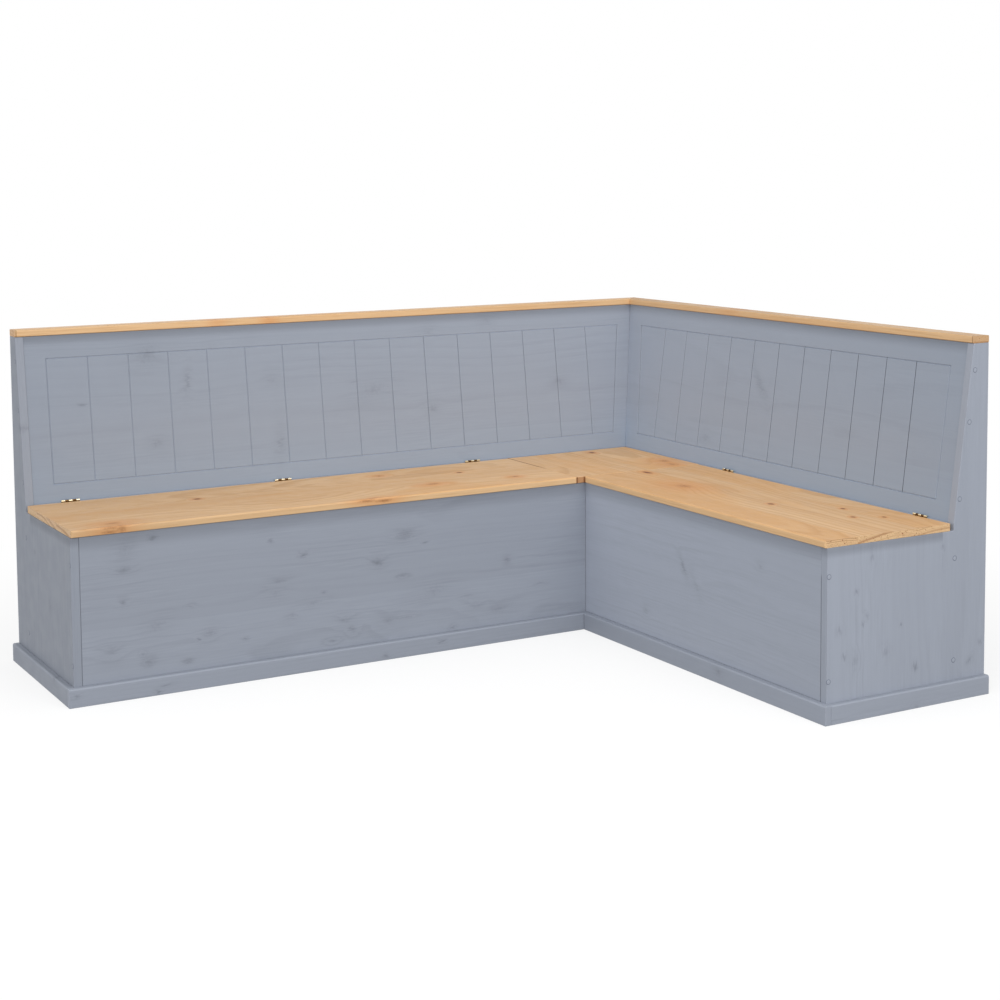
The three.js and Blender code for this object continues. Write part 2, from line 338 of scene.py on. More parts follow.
@dataclass(frozen=True)
class Seam:
    """A dark line where two boards meet, at a place along or across a board.

    Its fade, if it has one, is where the line starts and where it is complete.
    """

    across: bool
    at: float
    depth: float = 0.8
    width: float = 1.7 * MILLIMETRE
    fade: Pair | None = None
    solid: float = 0.35

    def dark(self, recipe: Recipe, place: Socket) -> Socket:
        """How dark the line is at a place on the board.

        Args:
            recipe: The board's material tree.
            place: The place on the board.

        Returns:
            From nothing to the line's depth.
        """
        along, across, _ = recipe.parts(place)
        side, run = (across, along) if self.across else (along, across)
        away = recipe.size_of(recipe.less(side, self.at))
        dark = recipe.span(away, self.solid * self.width, self.width, self.depth, 0.0)
        if self.fade is None:
            return dark
        return recipe.times(dark, recipe.span(run, *self.fade))


@dataclass(frozen=True)
class GrooveShade:
    """Painted shade in a board's grooves, or painted light where a share is below nothing.

    Level grooves have one share. Upright ones go from a first share to a last one over a run along
    the board, to even out how the lamps light them from one side, and stop at its ends.
    """

    level: float
    first: float
    last: float
    run: Pair
    middle: float
    half: float


@dataclass(frozen=True)
class LipShade:
    """Painted shade under a lip, down from its edge, and only as far back as a limit.

    The heights lie across a board, or along it for a board that stands on end. The painted shade is
    whole at a depth below the edge and gone at its reach, and a painted highlight lightens the paint
    again close under the lip.
    """

    edge: float
    share: float = 0.21
    reach: float = 48 * MILLIMETRE
    whole: float = 12 * MILLIMETRE
    # Painted highlight: how much lighter the paint is again close under the lip.
    lift: float = 0.28
    painted_lift_depths: Pair = (4.5 * MILLIMETRE, 1.0 * MILLIMETRE)
    over: float = 5 * MILLIMETRE
    upended: bool = False
    limit: float = 10.0


# The least and the most of a stray knot's radius, stretch, turn and depth.
STRAY_RANGES = ((3.5 * MILLIMETRE, 8.0 * MILLIMETRE), (1.0, 1.9), (-0.5, 0.5), (0.5, 1.0))
# A stave wider than any board that isn't glued up.
ONE_PIECE = 0.2
WIDE_SEAM = 2.2 * MILLIMETRE
# How squarely a board's edges and its face lie through it.
FACE_OR_EDGE = (0.5, 0.8)
# The part of soft noise that tells.
CLOUDED = (0.25, 0.75)


@dataclass(frozen=True)
class Board:
    """How one piece of timber was sawn, glued up and laid.

    Its face, for a board with grooves, is where the flat of it lies through the board. A step is a
    place across the board where a glued stave starts, and how much darker that stave is. Burnt is
    how dark its end grain is at least, and figure how much its grain shows through paint. Its shade
    is partly its own tone and partly painted light, set board by board to even out how the lamps
    fall on it, and its edge shade is painted shade that differs between its edges and its face. Its
    cool is a painted cool cast against the warm light that the oiled seat throws up. Its shade
    grade is painted light and shade that goes from its first end to its last.
    """

    node: str
    grain: Grain
    stave: float = 0.11
    lean: float = 0.0
    knots: tuple[Knot, ...] = ()
    strays: int = 0
    shade: float = 1.0
    cool: float = 0.0
    face: float = 0.0
    seams: tuple[Seam, ...] = ()
    steps: tuple[Pair, ...] = ()
    lip_shade: LipShade | None = None
    grooves: GrooveShade | None = None
    edge_shade: float | None = None
    burnt: float = 0.0
    figure: float = 1.0
    shade_grade: Pair = (1.0, 1.0)

    def seed(self) -> float:
        """A number that sets this board's figure apart from all others."""
        return float(sum(ord(letter) * (place + 1) for place, letter in enumerate(self.node)) % 977)

    def all_knots(self) -> list[Knot]:
        """The placed knots, and strays scattered over the board from its own seed.

        Returns:
            The knots, with the strays last.
        """
        draw = random.Random(self.seed())
        low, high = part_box(self.node)
        along, across, _ = self.grain.value
        strays = [
            Knot(
                draw.uniform(low[along], high[along]),
                draw.uniform(low[across], high[across]),
                *(draw.uniform(*ends) for ends in STRAY_RANGES),
            )
            for _ in range(self.strays)
        ]
        return [*self.knots, *strays]

    def place(self, recipe: Recipe) -> Socket:
        """The surface's own place along, across and through the board, in metres.

        Args:
            recipe: The board's material tree.

        Returns:
            The place. On a leaning board its depth is taken from a leaning plane.
        """
        parts = recipe.parts(recipe.place())
        along, across, through = (parts[axis] for axis in self.grain.value)
        if self.lean:
            through = recipe.times_plus(across, -self.lean, through)
        return recipe.joined(along, across, through)

    def shaded(self, recipe: Recipe, sides: Sequence[Socket]) -> Feed:
        """The board's shade, its own tone and painted light, which on some boards is another painted shade
        on the edges than on the face.

        Args:
            recipe: The board's material tree.
            sides: The three parts of the way that the surface faces.

        Returns:
            What the tone is multiplied by.
        """
        if self.edge_shade is None:
            return self.shade
        flat = recipe.size_of(sides[self.grain.value[2]])
        return recipe.span(flat, *FACE_OR_EDGE, self.edge_shade, self.shade)

    def shade_graded(self, recipe: Recipe, place: Socket) -> Socket:
        """The painted light and shade along the board, from its first end to its last.

        Args:
            recipe: The board's material tree.
            place: The place on the board.

        Returns:
            What the tone is multiplied by there.
        """
        first, last = self.shade_grade
        low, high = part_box(self.node)
        axis = self.grain.value[0]
        slope = (last - first) / (high[axis] - low[axis])
        return recipe.times_plus(recipe.parts(place)[0], slope, first - slope * low[axis])


@dataclass(frozen=True)
class PineFigure:
    """The growth rings, fibres and staves of sawn pine, as a group that all boards share."""

    ring: float = 2.9 * MILLIMETRE
    heart_depth: float = 18 * MILLIMETRE
    heart_range: float = 50 * MILLIMETRE
    heart_spread: float = 2.2
    stave_sway: float = 0.14
    sway_turn: float = 2.3
    stave_step: float = 13.7
    drift: float = 22 * MILLIMETRE
    drift_scale: float = 1.1
    wobble: float = 5 * MILLIMETRE
    wobble_scale: Triple = (2.4, 7.0, 7.0)
    ripple: float = 1.0 * MILLIMETRE
    ripple_scale: Triple = (16.0, 70.0, 70.0)
    late_from: float = 0.35
    late_full: float = 0.86
    late_end: float = 0.9
    faintest_year: float = 0.35
    year_spread: float = 3.0
    year_scale: float = 40.0
    band_scale: float = 105.0
    bands: Pair = (0.3, 0.7)
    fibre_scale: Triple = (9.0, 330.0, 330.0)
    streak_scale: Pair = (1.5, 26.0)
    streaks: Pair = (0.36, 0.66)
    name: str = "pine_figure"

    def group(self) -> bpy.types.NodeTree:
        """The shared group, built the first time that it is asked for.

        Returns:
            A group that takes a place on a board, a stave width, a seed and a swelling, and gives
            ring, band, fibre, streak and stave tone, each from 0 to 1.
        """
        if self.name in bpy.data.node_groups:
            return bpy.data.node_groups[self.name]
        tree = bpy.data.node_groups.new(self.name, "ShaderNodeTree")
        recipe = Recipe(tree)
        tree.interface.new_socket("Place", in_out="INPUT", socket_type="NodeSocketVector")
        for name in ("Stave", "Seed", "Swell"):
            tree.interface.new_socket(name, in_out="INPUT", socket_type="NodeSocketFloat")
        for name in ("Ring", "Band", "Fibre", "Streak", "Tone"):
            tree.interface.new_socket(name, in_out="OUTPUT", socket_type="NodeSocketFloat")
        given = recipe.node("NodeGroupInput", {}).outputs
        results = self._lay_out(recipe, given["Place"], given["Stave"], given["Seed"], given["Swell"])
        recipe.node("NodeGroupOutput", dict(enumerate(results)))
        return tree

    def _lay_out(
        self, recipe: Recipe, place: Socket, stave: Socket, seed: Socket, swell: Socket
    ) -> tuple[Socket, ...]:
        """Lays out the figure inside the group.

        Args:
            recipe: The group's tree.
            place: The place along, across and through the board.
            stave: The usual width of a glued stave.
            seed: The board's own number.
            swell: How far the rings are pushed out by a knot.

        Returns:
            Ring, band, fibre, streak and tone.
        """
        along, across, through = recipe.parts(place)
        turn = recipe.times_plus(recipe.over(across, stave), self.sway_turn, seed)
        sway = recipe.math("SINE", turn)
        uneven = recipe.times_plus(recipe.times(sway, self.stave_sway), stave, across)
        index = recipe.math("FLOOR", recipe.over(uneven, stave))
        own = recipe.times_plus(index, self.stave_step, seed)
        side, deep, tone = recipe.pick(own)
        middle = recipe.times(recipe.plus(index, 0.5), stave)
        reach = recipe.times(stave, self.heart_spread)
        heart = recipe.times(recipe.centred(side), reach)
        local = recipe.less(recipe.less(uneven, middle), heart)
        depth = recipe.times_plus(deep, self.heart_range, self.heart_depth)
        wandering = recipe.line_noise(recipe.plus(along, own), self.drift_scale)
        drift = recipe.times(recipe.centred(wandering), self.drift)
        shifted = recipe.vector("ADD", place, recipe.joined(own, own, seed))
        bent = recipe.noise(recipe.stretched(shifted, self.wobble_scale), 1.0, 1.0)
        wobble = recipe.times(recipe.centred(bent), self.wobble)
        rough = recipe.noise(recipe.stretched(shifted, self.ripple_scale), 1.0)
        ripple = recipe.times(recipe.centred(rough), self.ripple)
        sideways = recipe.plus(local, wobble)
        inward = recipe.plus(recipe.plus(through, depth), drift)
        squares = recipe.plus(recipe.times(sideways, sideways), recipe.times(inward, inward))
        radius = recipe.plus(recipe.plus(recipe.math("SQRT", squares), ripple), swell)
        count = recipe.over(radius, self.ring)
        uneven_years = recipe.line_noise(recipe.plus(radius, own), self.year_scale)
        spread = recipe.times(uneven_years, self.year_spread)
        year = recipe.plus(count, spread)
        part = recipe.math("FRACT", year)
        grown = recipe.span(part, self.late_from, self.late_full)
        late = recipe.times(grown, recipe.span(part, self.late_end, 1.0, 1.0, 0.0))
        weight, _, _ = recipe.pick(recipe.plus(recipe.math("FLOOR", year), own))
        ring = recipe.times(late, recipe.span(weight, 0.0, 1.0, self.faintest_year, 1.0))
        band = recipe.line_noise(recipe.plus(radius, own), self.band_scale, 3.0)
        band = recipe.span(band, *self.bands)
        fibre = recipe.noise(recipe.stretched(shifted, self.fibre_scale), 1.0, 3.0)
        flow_along, flow_out = self.streak_scale
        flow = recipe.joined(recipe.times(along, flow_along), recipe.times(radius, flow_out), own)
        streak = recipe.span(recipe.noise(flow, 1.0, 3.0), *self.streaks)
        return ring, band, fibre, streak, tone

    def on(self, recipe: Recipe, board: Board, place: Socket, swell: Socket) -> list[Socket]:
        """The figure on one board.

        Args:
            recipe: The board's material tree.
            board: The board.
            place: The place on the board.
            swell: How far the knots push the rings out.

        Returns:
            Ring, band, fibre, streak and tone.
        """
        made = recipe.tree.nodes.new("ShaderNodeGroup")
        made.node_tree = self.group()
        feeds = {"Place": place, "Stave": board.stave, "Seed": board.seed(), "Swell": swell}
        for name, feed in feeds.items():
            recipe.feed(made.inputs[name], feed)
        return list(made.outputs)


@dataclass(frozen=True)
class KnotField:
    """The knots of one board, blended into one set of masks."""

    reach: float = 3.4
    far: float = 9.0
    swell: float = 6.5 * MILLIMETRE
    core: float = 0.55
    edge: float = 1.1
    fray: float = 0.9
    fray_scale: float = 160.0
    smear: float = 5 * MILLIMETRE
    smear_scale: Triple = (15.0, 240.0, 240.0)
    rim_in: Pair = (0.7, 1.0)
    rim_out: Pair = (1.0, 1.5)

    def on(self, recipe: Recipe, board: Board, place: Socket) -> tuple[Socket, ...]:
        """Lays out every knot of a board.

        Args:
            recipe: The board's material tree.
            board: The board.
            place: The place on the board.

        Returns:
            The knots' hearts, their dark rims, the stained wood round them and the rings' swelling.
        """
        rough = recipe.noise(place, self.fray_scale, 2.0)
        fray = recipe.times(recipe.centred(rough), self.fray)
        drawn = recipe.noise(recipe.stretched(place, self.smear_scale), 1.0, 2.0)
        pulled = recipe.times(recipe.centred(drawn), self.smear)
        place = recipe.vector("ADD", place, recipe.joined(pulled, 0.0, 0.0))
        near: Feed = self.far
        for knot in board.all_knots():
            feeds = {
                "Vector": place,
                "Location": (knot.along, knot.across, knot.through),
                "Rotation": (0.0, 0.0, knot.turn),
                "Scale": (knot.radius * knot.stretch, knot.radius, knot.thick),
            }
            local = recipe.node("ShaderNodeMapping", feeds, vector_type="TEXTURE").outputs[0]
            away = recipe.length(local)
            start = self._start(knot.depth)
            away = recipe.times_plus(away, 1.0 - start / self.edge, start)
            near = recipe.math("MINIMUM", near, away)
        frayed = recipe.plus(near, fray)
        heart = recipe.span(frayed, self.core, self.edge, 1.0, 0.0)
        rim = recipe.span(frayed, *self.rim_in)
        rim = recipe.times(rim, recipe.span(frayed, *self.rim_out, 1.0, 0.0))
        stain = recipe.span(near, self.core, self.reach, 1.0, 0.0)
        swell = recipe.times(stain, self.swell)
        return heart, rim, stain, swell

    def _start(self, depth: float) -> float:
        """How far out a knot seems to start, so that its heart is only as dark as its depth."""
        eased = 0.5 - math.sin(math.asin(2 * min(depth, 1.0) - 1) / 3)
        return self.core + (self.edge - self.core) * eased if depth < 1 else 0.0


FIGURE = PineFigure()
VEILED_FIGURE = PineFigure(
    ring=4.2 * MILLIMETRE, heart_depth=26 * MILLIMETRE, heart_range=50 * MILLIMETRE,
    drift=13 * MILLIMETRE, wobble=3.2 * MILLIMETRE, ripple=1.2 * MILLIMETRE, late_from=0.5,
    heart_spread=3.4, fibre_scale=(12.0, 250.0, 250.0), name="veiled_pine_figure",
)
KNOTS = KnotField()
VEILED_KNOTS = KnotField(
    reach=2.8, swell=5.0 * MILLIMETRE, core=0.0, edge=1.35, fray=1.0, fray_scale=120.0,
    smear=34 * MILLIMETRE,
)


def new_material(name: str) -> tuple[Material, Recipe]:
    """Makes an empty material.

    Args:
        name: The material's name.

    Returns:
        The material and the recipe for its nodes.
    """
    material = bpy.data.materials.new(name)
    material.use_nodes = True
    return material, Recipe(material.node_tree)


def finish_surface(
    recipe: Recipe, colour: Feed, roughness: Feed, normal: Socket, **constants: float
) -> None:
    """Ends a material with its shader.

    Args:
        recipe: The material's tree.
        colour: The surface's colour.
        roughness: Its roughness.
        normal: Its relief.
        **constants: Values set on the shader itself, by input name with underscores for spaces.
    """
    feeds: dict[str | int, Feed] = {"Base Color": colour, "Roughness": roughness, "Normal": normal}
    feeds.update({name.replace("_", " "): value for name, value in constants.items()})
    shader = recipe.node("ShaderNodeBsdfPrincipled", feeds)
    recipe.node("ShaderNodeOutputMaterial", {"Surface": shader.outputs[0]})


@dataclass(frozen=True)
class PaintedPine:
    """Satin paint brushed over planed pine, thin enough for rings and knots to telegraph."""

    base: Tint = Tint(151, 157, 169)
    # A painted cool cast: the backs' paint goes towards this bluer tint, most near the seat, against the
    # warm light that the oiled seat throws up.
    cooler: Tint = Tint(143, 162, 184)
    cool_heights: Pair = (0.45, 0.62)
    cool_left: float = 0.4
    ring_share: float = 0.07
    fibre_share: float = 0.2
    band_share: float = 0.025
    tone_share: float = 0.012
    knot_share: float = 0.23
    stain_share: float = 0.06
    line_share: float = 0.36
    # Painted shade on faces that look up, which the overhead lamp lights most.
    top_shade_share: float = 0.13
    top_shade_facing: Pair = (0.5, 0.9)
    groove: Pair = (0.3 * MILLIMETRE, 1.2 * MILLIMETRE)
    groove_end: Pair = (3.5 * MILLIMETRE, 4.55 * MILLIMETRE)
    groove_wall: Pair = (0.3, 0.6)
    thin_scale: Triple = (2.2, 11.0, 11.0)
    thin: Pair = (0.38, 0.64)
    veiled: float = 0.3
    stained: Pair = (0.0, 0.5)
    cloud_scale: float = 22.0
    roughness: Pair = (0.5, 0.62)
    sheen: float = 0.35
    fibre_relief: float = 0.5
    relief: float = 0.08 * MILLIMETRE
    stroke: Triple = (5.0, 260.0, 260.0)
    slot: Slot = Slot.PAINT

    def material(self, board: Board) -> Material:
        """The paint on one board.

        Args:
            board: The board under the paint.

        Returns:
            The material.
        """
        material, recipe = new_material("paint_on_" + board.node)
        place = board.place(recipe)
        heart, _, stain, swell = VEILED_KNOTS.on(recipe, board, place)
        ring, band, fibre, _, tone = VEILED_FIGURE.on(recipe, board, place, swell)
        thin = recipe.noise(recipe.stretched(place, self.thin_scale), 1.0, 2.0)
        shows = recipe.span(thin, *self.thin, self.veiled, 1.0)
        shows = recipe.math("MAXIMUM", shows, recipe.span(stain, *self.stained))
        lines = recipe.times(ring, self.ring_share)
        lines = recipe.times_plus(recipe.centred(fibre), self.fibre_share, lines)
        dark = recipe.times(lines, recipe.times(shows, board.figure))
        dark = recipe.times_plus(recipe.centred(band), self.band_share, dark)
        dark = recipe.times_plus(recipe.centred(tone), self.tone_share, dark)
        dark = recipe.times_plus(stain, self.stain_share, dark)
        dark = recipe.times_plus(heart, self.knot_share, dark)
        dark = recipe.plus(dark, self._stave_steps(recipe, board, place))
        kept = recipe.less(1.0, dark)
        kept = recipe.times(kept, self._lines(recipe, board, place))
        # Painted shade under lips, on top faces and edges, and painted light and shade graded along the
        # board.
        kept = recipe.times(kept, self._under_lip(recipe, board, place))
        kept = recipe.times(kept, self._by_side(recipe, board))
        kept = recipe.times(kept, board.shade_graded(recipe, place))
        # The painted cool cast, strongest low on the back by the seat.
        low = recipe.span(recipe.parts(place)[1], *self.cool_heights, 1.0, self.cool_left)
        cool = recipe.times(low, board.cool)
        tinted = recipe.mixed(cool, self.base, self.cooler)
        colour = recipe.dimmed(tinted, kept)
        cloud = recipe.noise(place, self.cloud_scale, 3.0)
        roughness = recipe.span(cloud, *CLOUDED, *self.roughness)
        stroke = recipe.noise(recipe.stretched(place, self.stroke), 1.0, 2.0)
        normal = recipe.bump(recipe.times_plus(fibre, self.fibre_relief, stroke), self.relief)
        finish_surface(recipe, colour, roughness, normal, Specular_IOR_Level=self.sheen)
        return material

    def _stave_steps(self, recipe: Recipe, board: Board, place: Socket) -> Feed:
        """How much darker or lighter the glued staves are, from each step's edge upwards.

        Args:
            recipe: The board's material tree.
            board: The board.
            place: The place on the board.

        Returns:
            The share of the light that is lost.
        """
        across = recipe.parts(place)[1]
        change: Feed = 0.0
        for edge, darker in board.steps:
            risen = recipe.span(across, edge - MILLIMETRE, edge + MILLIMETRE, 0.0, darker)
            change = recipe.plus(change, risen)
        return change

    def _by_side(self, recipe: Recipe, board: Board) -> Feed:
        """The painted shade on each side: the board's shade on its face and edges, and a darker top.

        Args:
            recipe: The board's material tree.
            board: The board.

        Returns:
            The share that is kept.
        """
        facing = recipe.facing()
        upward = recipe.span(facing[2], *self.top_shade_facing, 1.0, 1.0 - self.top_shade_share)
        return recipe.times(upward, board.shaded(recipe, facing))

    def _under_lip(self, recipe: Recipe, board: Board, place: Socket) -> Feed:
        """The painted shade under a lip, and the painted highlight close under its edge.

        Args:
            recipe: The board's material tree.
            board: The board.
            place: The place on the board.

        Returns:
            The share that is kept.
        """
        if board.lip_shade is None:
            return 1.0
        lip_shade = board.lip_shade
        along, across, _ = recipe.parts(place)
        up, back = (along, across) if lip_shade.upended else (across, along)
        near = recipe.span(up, lip_shade.edge - lip_shade.reach, lip_shade.edge - lip_shade.whole)
        below = recipe.math("LESS_THAN", up, lip_shade.edge + lip_shade.over)
        in_front = recipe.math("LESS_THAN", back, lip_shade.limit)
        there = recipe.times(recipe.times(below, lip_shade.share), in_front)
        kept = recipe.less(1.0, recipe.times(near, there))
        # The painted highlight close under the lip's edge.
        start, end = (lip_shade.edge - depth for depth in lip_shade.painted_lift_depths)
        lift = recipe.times(recipe.span(up, start, end, 0.0, lip_shade.lift), in_front)
        return recipe.times_plus(kept, recipe.times(lift, below), kept)

    def _lines(self, recipe: Recipe, board: Board, place: Socket) -> Feed:
        """What the painted shade in the grooves and the dark lines where the board meets others leave of
        the light.

        Args:
            recipe: The board's material tree.
            board: The board.
            place: The place on the board.

        Returns:
            The share that is kept.
        """
        left: Feed = 1.0
        if board.grooves is not None:
            left = recipe.less(1.0, self._in_grooves(recipe, board, board.grooves, place))
        for seam in board.seams:
            dark = recipe.times(seam.dark(recipe, place), self.line_share)
            left = recipe.times(left, recipe.less(1.0, dark))
        return left

    def _in_grooves(self, recipe: Recipe, board: Board, grooves: GrooveShade, place: Socket) -> Socket:
        """The painted shade in a board's grooves, or painted light where its share is below nothing.

        Args:
            recipe: The board's material tree.
            board: The board.
            grooves: The shares of its grooves.
            place: The place on the board.

        Returns:
            The share of the light that is lost.
        """
        along, _, through = recipe.parts(place)
        wall = recipe.size_of(recipe.facing()[board.grain.value[0]])
        upright = recipe.span(along, *grooves.run, grooves.first, grooves.last)
        away = recipe.size_of(recipe.less(along, grooves.middle))
        upright = recipe.times(upright, recipe.math("LESS_THAN", away, grooves.half))
        share = recipe.span(wall, *self.groove_wall, grooves.level, upright)
        sunk = recipe.less(through, board.face)
        dark = recipe.span(sunk, *self.groove, 0.0, share)
        bottom = recipe.span(sunk, *self.groove_end, 1.0, 0.0)
        return recipe.times(dark, bottom)


@dataclass(frozen=True)
class OiledPine:
    """Honey oil on planed knotty pine, deeper in the late wood, the end grain and the knots."""

    pale: Tint = Tint(220, 184, 141)
    warm: Tint = Tint(205, 165, 120)
    late: Tint = Tint(184, 139, 90)
    orange: Tint = Tint(210, 156, 94)
    edge: Tint = Tint(222, 186, 142)
    knot: Tint = Tint(112, 64, 30)
    end: Tint = Tint(142, 84, 44)
    end_pale: Tint = Tint(232, 200, 156)
    resin: Tint = Tint(206, 138, 78)
    band_share: float = 0.75
    tone_share: float = 0.35
    ring_share: float = 0.5
    amber_share: float = 0.4
    edge_share: float = 0.7
    end_share: float = 0.35
    fibre_share: float = 0.4
    stain_share: float = 0.6
    heart_share: float = 0.9
    rim_share: float = 0.3
    endwise: Pair = (0.75, 0.95)
    sidewise: Pair = (0.2, 0.75)
    amber: Pair = (0.45, 1.0)
    dark_fibre: Pair = (0.42, 0.78)
    arcs: Pair = (0.45, 0.95)
    arc_shares: Pair = (0.5, 0.2)
    split_scale: Triple = (1.0, 150.0, 420.0)
    split: Pair = (0.63, 0.7)
    cloud_scale: float = 30.0
    roughness: Pair = (0.42, 0.56)
    sheen: float = 0.3
    fibre_relief: float = 0.5
    ring_relief: float = 0.4
    relief: float = 0.1 * MILLIMETRE
    slot: Slot = Slot.OILED

    def material(self, board: Board) -> Material:
        """The oil on one board.

        Args:
            board: The board under the oil.

        Returns:
            The material.
        """
        material, recipe = new_material("oil_on_" + board.node)
        place = board.place(recipe)
        heart, rim, stain, swell = KNOTS.on(recipe, board, place)
        ring, band, fibre, streak, tone = FIGURE.on(recipe, board, place, swell)
        facing = recipe.facing()
        along, _, through = board.grain.value
        endwise = recipe.span(recipe.size_of(facing[along]), *self.endwise)
        sidewise = recipe.span(recipe.size_of(facing[through]), *self.sidewise, 1.0, 0.0)
        colour = recipe.mixed(recipe.times(band, self.band_share), self.pale, self.warm)
        colour = recipe.mixed(recipe.times(tone, self.tone_share), colour, self.warm)
        colour = recipe.mixed(recipe.times(ring, self.ring_share), colour, self.late)
        amber = recipe.times(recipe.span(streak, *self.amber), self.amber_share)
        colour = recipe.mixed(amber, colour, self.orange)
        # Painted light: faces that stand up, such as the lids' fronts and the caps' sides, are mixed
        # paler.
        colour = recipe.mixed(recipe.times(sidewise, self.edge_share), colour, self.edge)
        colour = recipe.mixed(recipe.times(endwise, self.end_share), colour, self.end_pale)
        dark = recipe.span(fibre, *self.dark_fibre, 0.0, self.fibre_share)
        colour = recipe.mixed(dark, colour, self.late)
        arcs = recipe.math("MAXIMUM", self._arcs(recipe, band, ring, place), board.burnt)
        colour = recipe.mixed(recipe.times(endwise, arcs), colour, self.end)
        colour = recipe.mixed(recipe.times(stain, self.stain_share), colour, self.resin)
        colour = recipe.mixed(recipe.times(heart, self.heart_share), colour, self.knot)
        colour = recipe.mixed(recipe.times(rim, self.rim_share), colour, self.knot)
        for seam in board.seams:
            colour = recipe.mixed(seam.dark(recipe, place), colour, self.knot)
        # Painted light and shade: the board's shade, another on its edges, and its grade along it.
        shade = board.shaded(recipe, facing)
        colour = recipe.dimmed(colour, recipe.times(board.shade_graded(recipe, place), shade))
        cloud = recipe.noise(place, self.cloud_scale, 3.0)
        roughness = recipe.span(cloud, *CLOUDED, *self.roughness)
        height = recipe.times_plus(fibre, self.fibre_relief, recipe.times(ring, self.ring_relief))
        normal = recipe.bump(height, self.relief)
        finish_surface(recipe, colour, roughness, normal, Specular_IOR_Level=self.sheen)
        return material

    def _arcs(self, recipe: Recipe, band: Socket, ring: Socket, place: Socket) -> Socket:
        """How dark the end grain is: the years' arcs, and small splits across them.

        Args:
            recipe: The board's material tree.
            band: The bands of several years.
            ring: Each year's ring.
            place: The place on the board.

        Returns:
            The darkness, from 0 to 1.
        """
        band_share, ring_share = self.arc_shares
        arcs = recipe.times(recipe.span(band, *self.arcs), band_share)
        arcs = recipe.plus(arcs, recipe.times(ring, ring_share))
        split = recipe.noise(recipe.stretched(place, self.split_scale), 1.0, 2.0)
        return recipe.math("MAXIMUM", arcs, recipe.span(split, *self.split))


@dataclass(frozen=True)
class RawPine:
    """Planed pine left bare, as the chests' floors, cleats and battens are."""

    pale: Tint = Tint(231, 208, 170)
    warm: Tint = Tint(216, 186, 142)
    knot: Tint = Tint(150, 105, 66)
    band_share: float = 0.4
    ring_share: float = 0.5
    streak_share: float = 0.2
    stain_share: float = 0.2
    fuzzy: Pair = (0.2, 0.8)
    roughness: Pair = (0.7, 0.85)
    fibre_relief: float = 0.8
    ring_relief: float = 0.4
    relief: float = 0.18 * MILLIMETRE
    slot: Slot = Slot.RAW

    def material(self, board: Board) -> Material:
        """The bare surface of one board.

        Args:
            board: The board.

        Returns:
            The material.
        """
        material, recipe = new_material("bare_" + board.node)
        place = board.place(recipe)
        heart, rim, stain, swell = KNOTS.on(recipe, board, place)
        ring, band, fibre, streak, _ = FIGURE.on(recipe, board, place, swell)
        share = recipe.times_plus(band, self.band_share, recipe.times(ring, self.ring_share))
        share = recipe.times_plus(streak, self.streak_share, share)
        share = recipe.times_plus(stain, self.stain_share, share)
        colour = recipe.mixed(share, self.pale, self.warm)
        colour = recipe.mixed(recipe.math("MAXIMUM", heart, rim), colour, self.knot)
        roughness = recipe.span(fibre, *self.fuzzy, *self.roughness)
        height = recipe.times_plus(fibre, self.fibre_relief, recipe.times(ring, self.ring_relief))
        finish_surface(recipe, colour, roughness, recipe.bump(height, self.relief))
        return material


@dataclass(frozen=True)
class Brass:
    """Brass plate, bright where it is rubbed and duller in the recesses."""

    name: str = "brass_bright"
    bright: Tint = Tint(246, 235, 206)
    dull: Tint = Tint(226, 208, 166)
    polish: Pair = (0.16, 0.34)
    tarnished: Pair = (0.35, 0.7)
    rubbed: Pair = (0.3, 0.7)
    cloud_scale: float = 240.0
    scratch_scale: Triple = (300.0, 300.0, 4000.0)
    relief: float = 0.03 * MILLIMETRE
    slot: Slot = Slot.BRASS

    def material(self) -> Material:
        """The metal's material.

        Returns:
            The material, made once and shared after that.
        """
        if self.name in bpy.data.materials:
            return bpy.data.materials[self.name]
        material, recipe = new_material(self.name)
        place = recipe.place()
        cloud = recipe.noise(place, self.cloud_scale, 4.0)
        scratches = recipe.noise(recipe.stretched(place, self.scratch_scale), 1.0, 2.0)
        colour = recipe.mixed(recipe.span(cloud, *self.tarnished), self.bright, self.dull)
        roughness = recipe.span(cloud, *self.rubbed, *self.polish)
        normal = recipe.bump(scratches, self.relief)
        finish_surface(recipe, colour, roughness, normal, Metallic=1.0)
        return material


@dataclass(frozen=True)
class PaintLine:
    """The dark line that the paint leaves round a plug."""

    dark: Tint = Tint(98, 104, 118)
    pale: Tint = Tint(122, 128, 142)
    cloud_scale: float = 700.0
    roughness: float = 0.6
    relief: float = 0.05 * MILLIMETRE

    def material(self, name: str) -> Material:
        """The line's material.

        Args:
            name: The piece that it is on.

        Returns:
            The material.
        """
        material, recipe = new_material("paint_line_round_" + name)
        cloud = recipe.noise(recipe.place(), self.cloud_scale, 2.0)
        colour = recipe.mixed(cloud, self.dark, self.pale)
        finish_surface(recipe, colour, self.roughness, recipe.bump(cloud, self.relief))
        return material


PAINT = PaintedPine()
OIL = OiledPine()
BARE = RawPine()
BRIGHT_BRASS = Brass()
# A darker copy of the brass, painted shade for the lid leaves' knuckles and for the screws under the lids.
SHADED_BRASS = Brass("brass_shaded", Tint(122, 92, 56), Tint(82, 60, 36), (0.3, 0.5))
TimberFinish = PaintedPine | OiledPine | RawPine


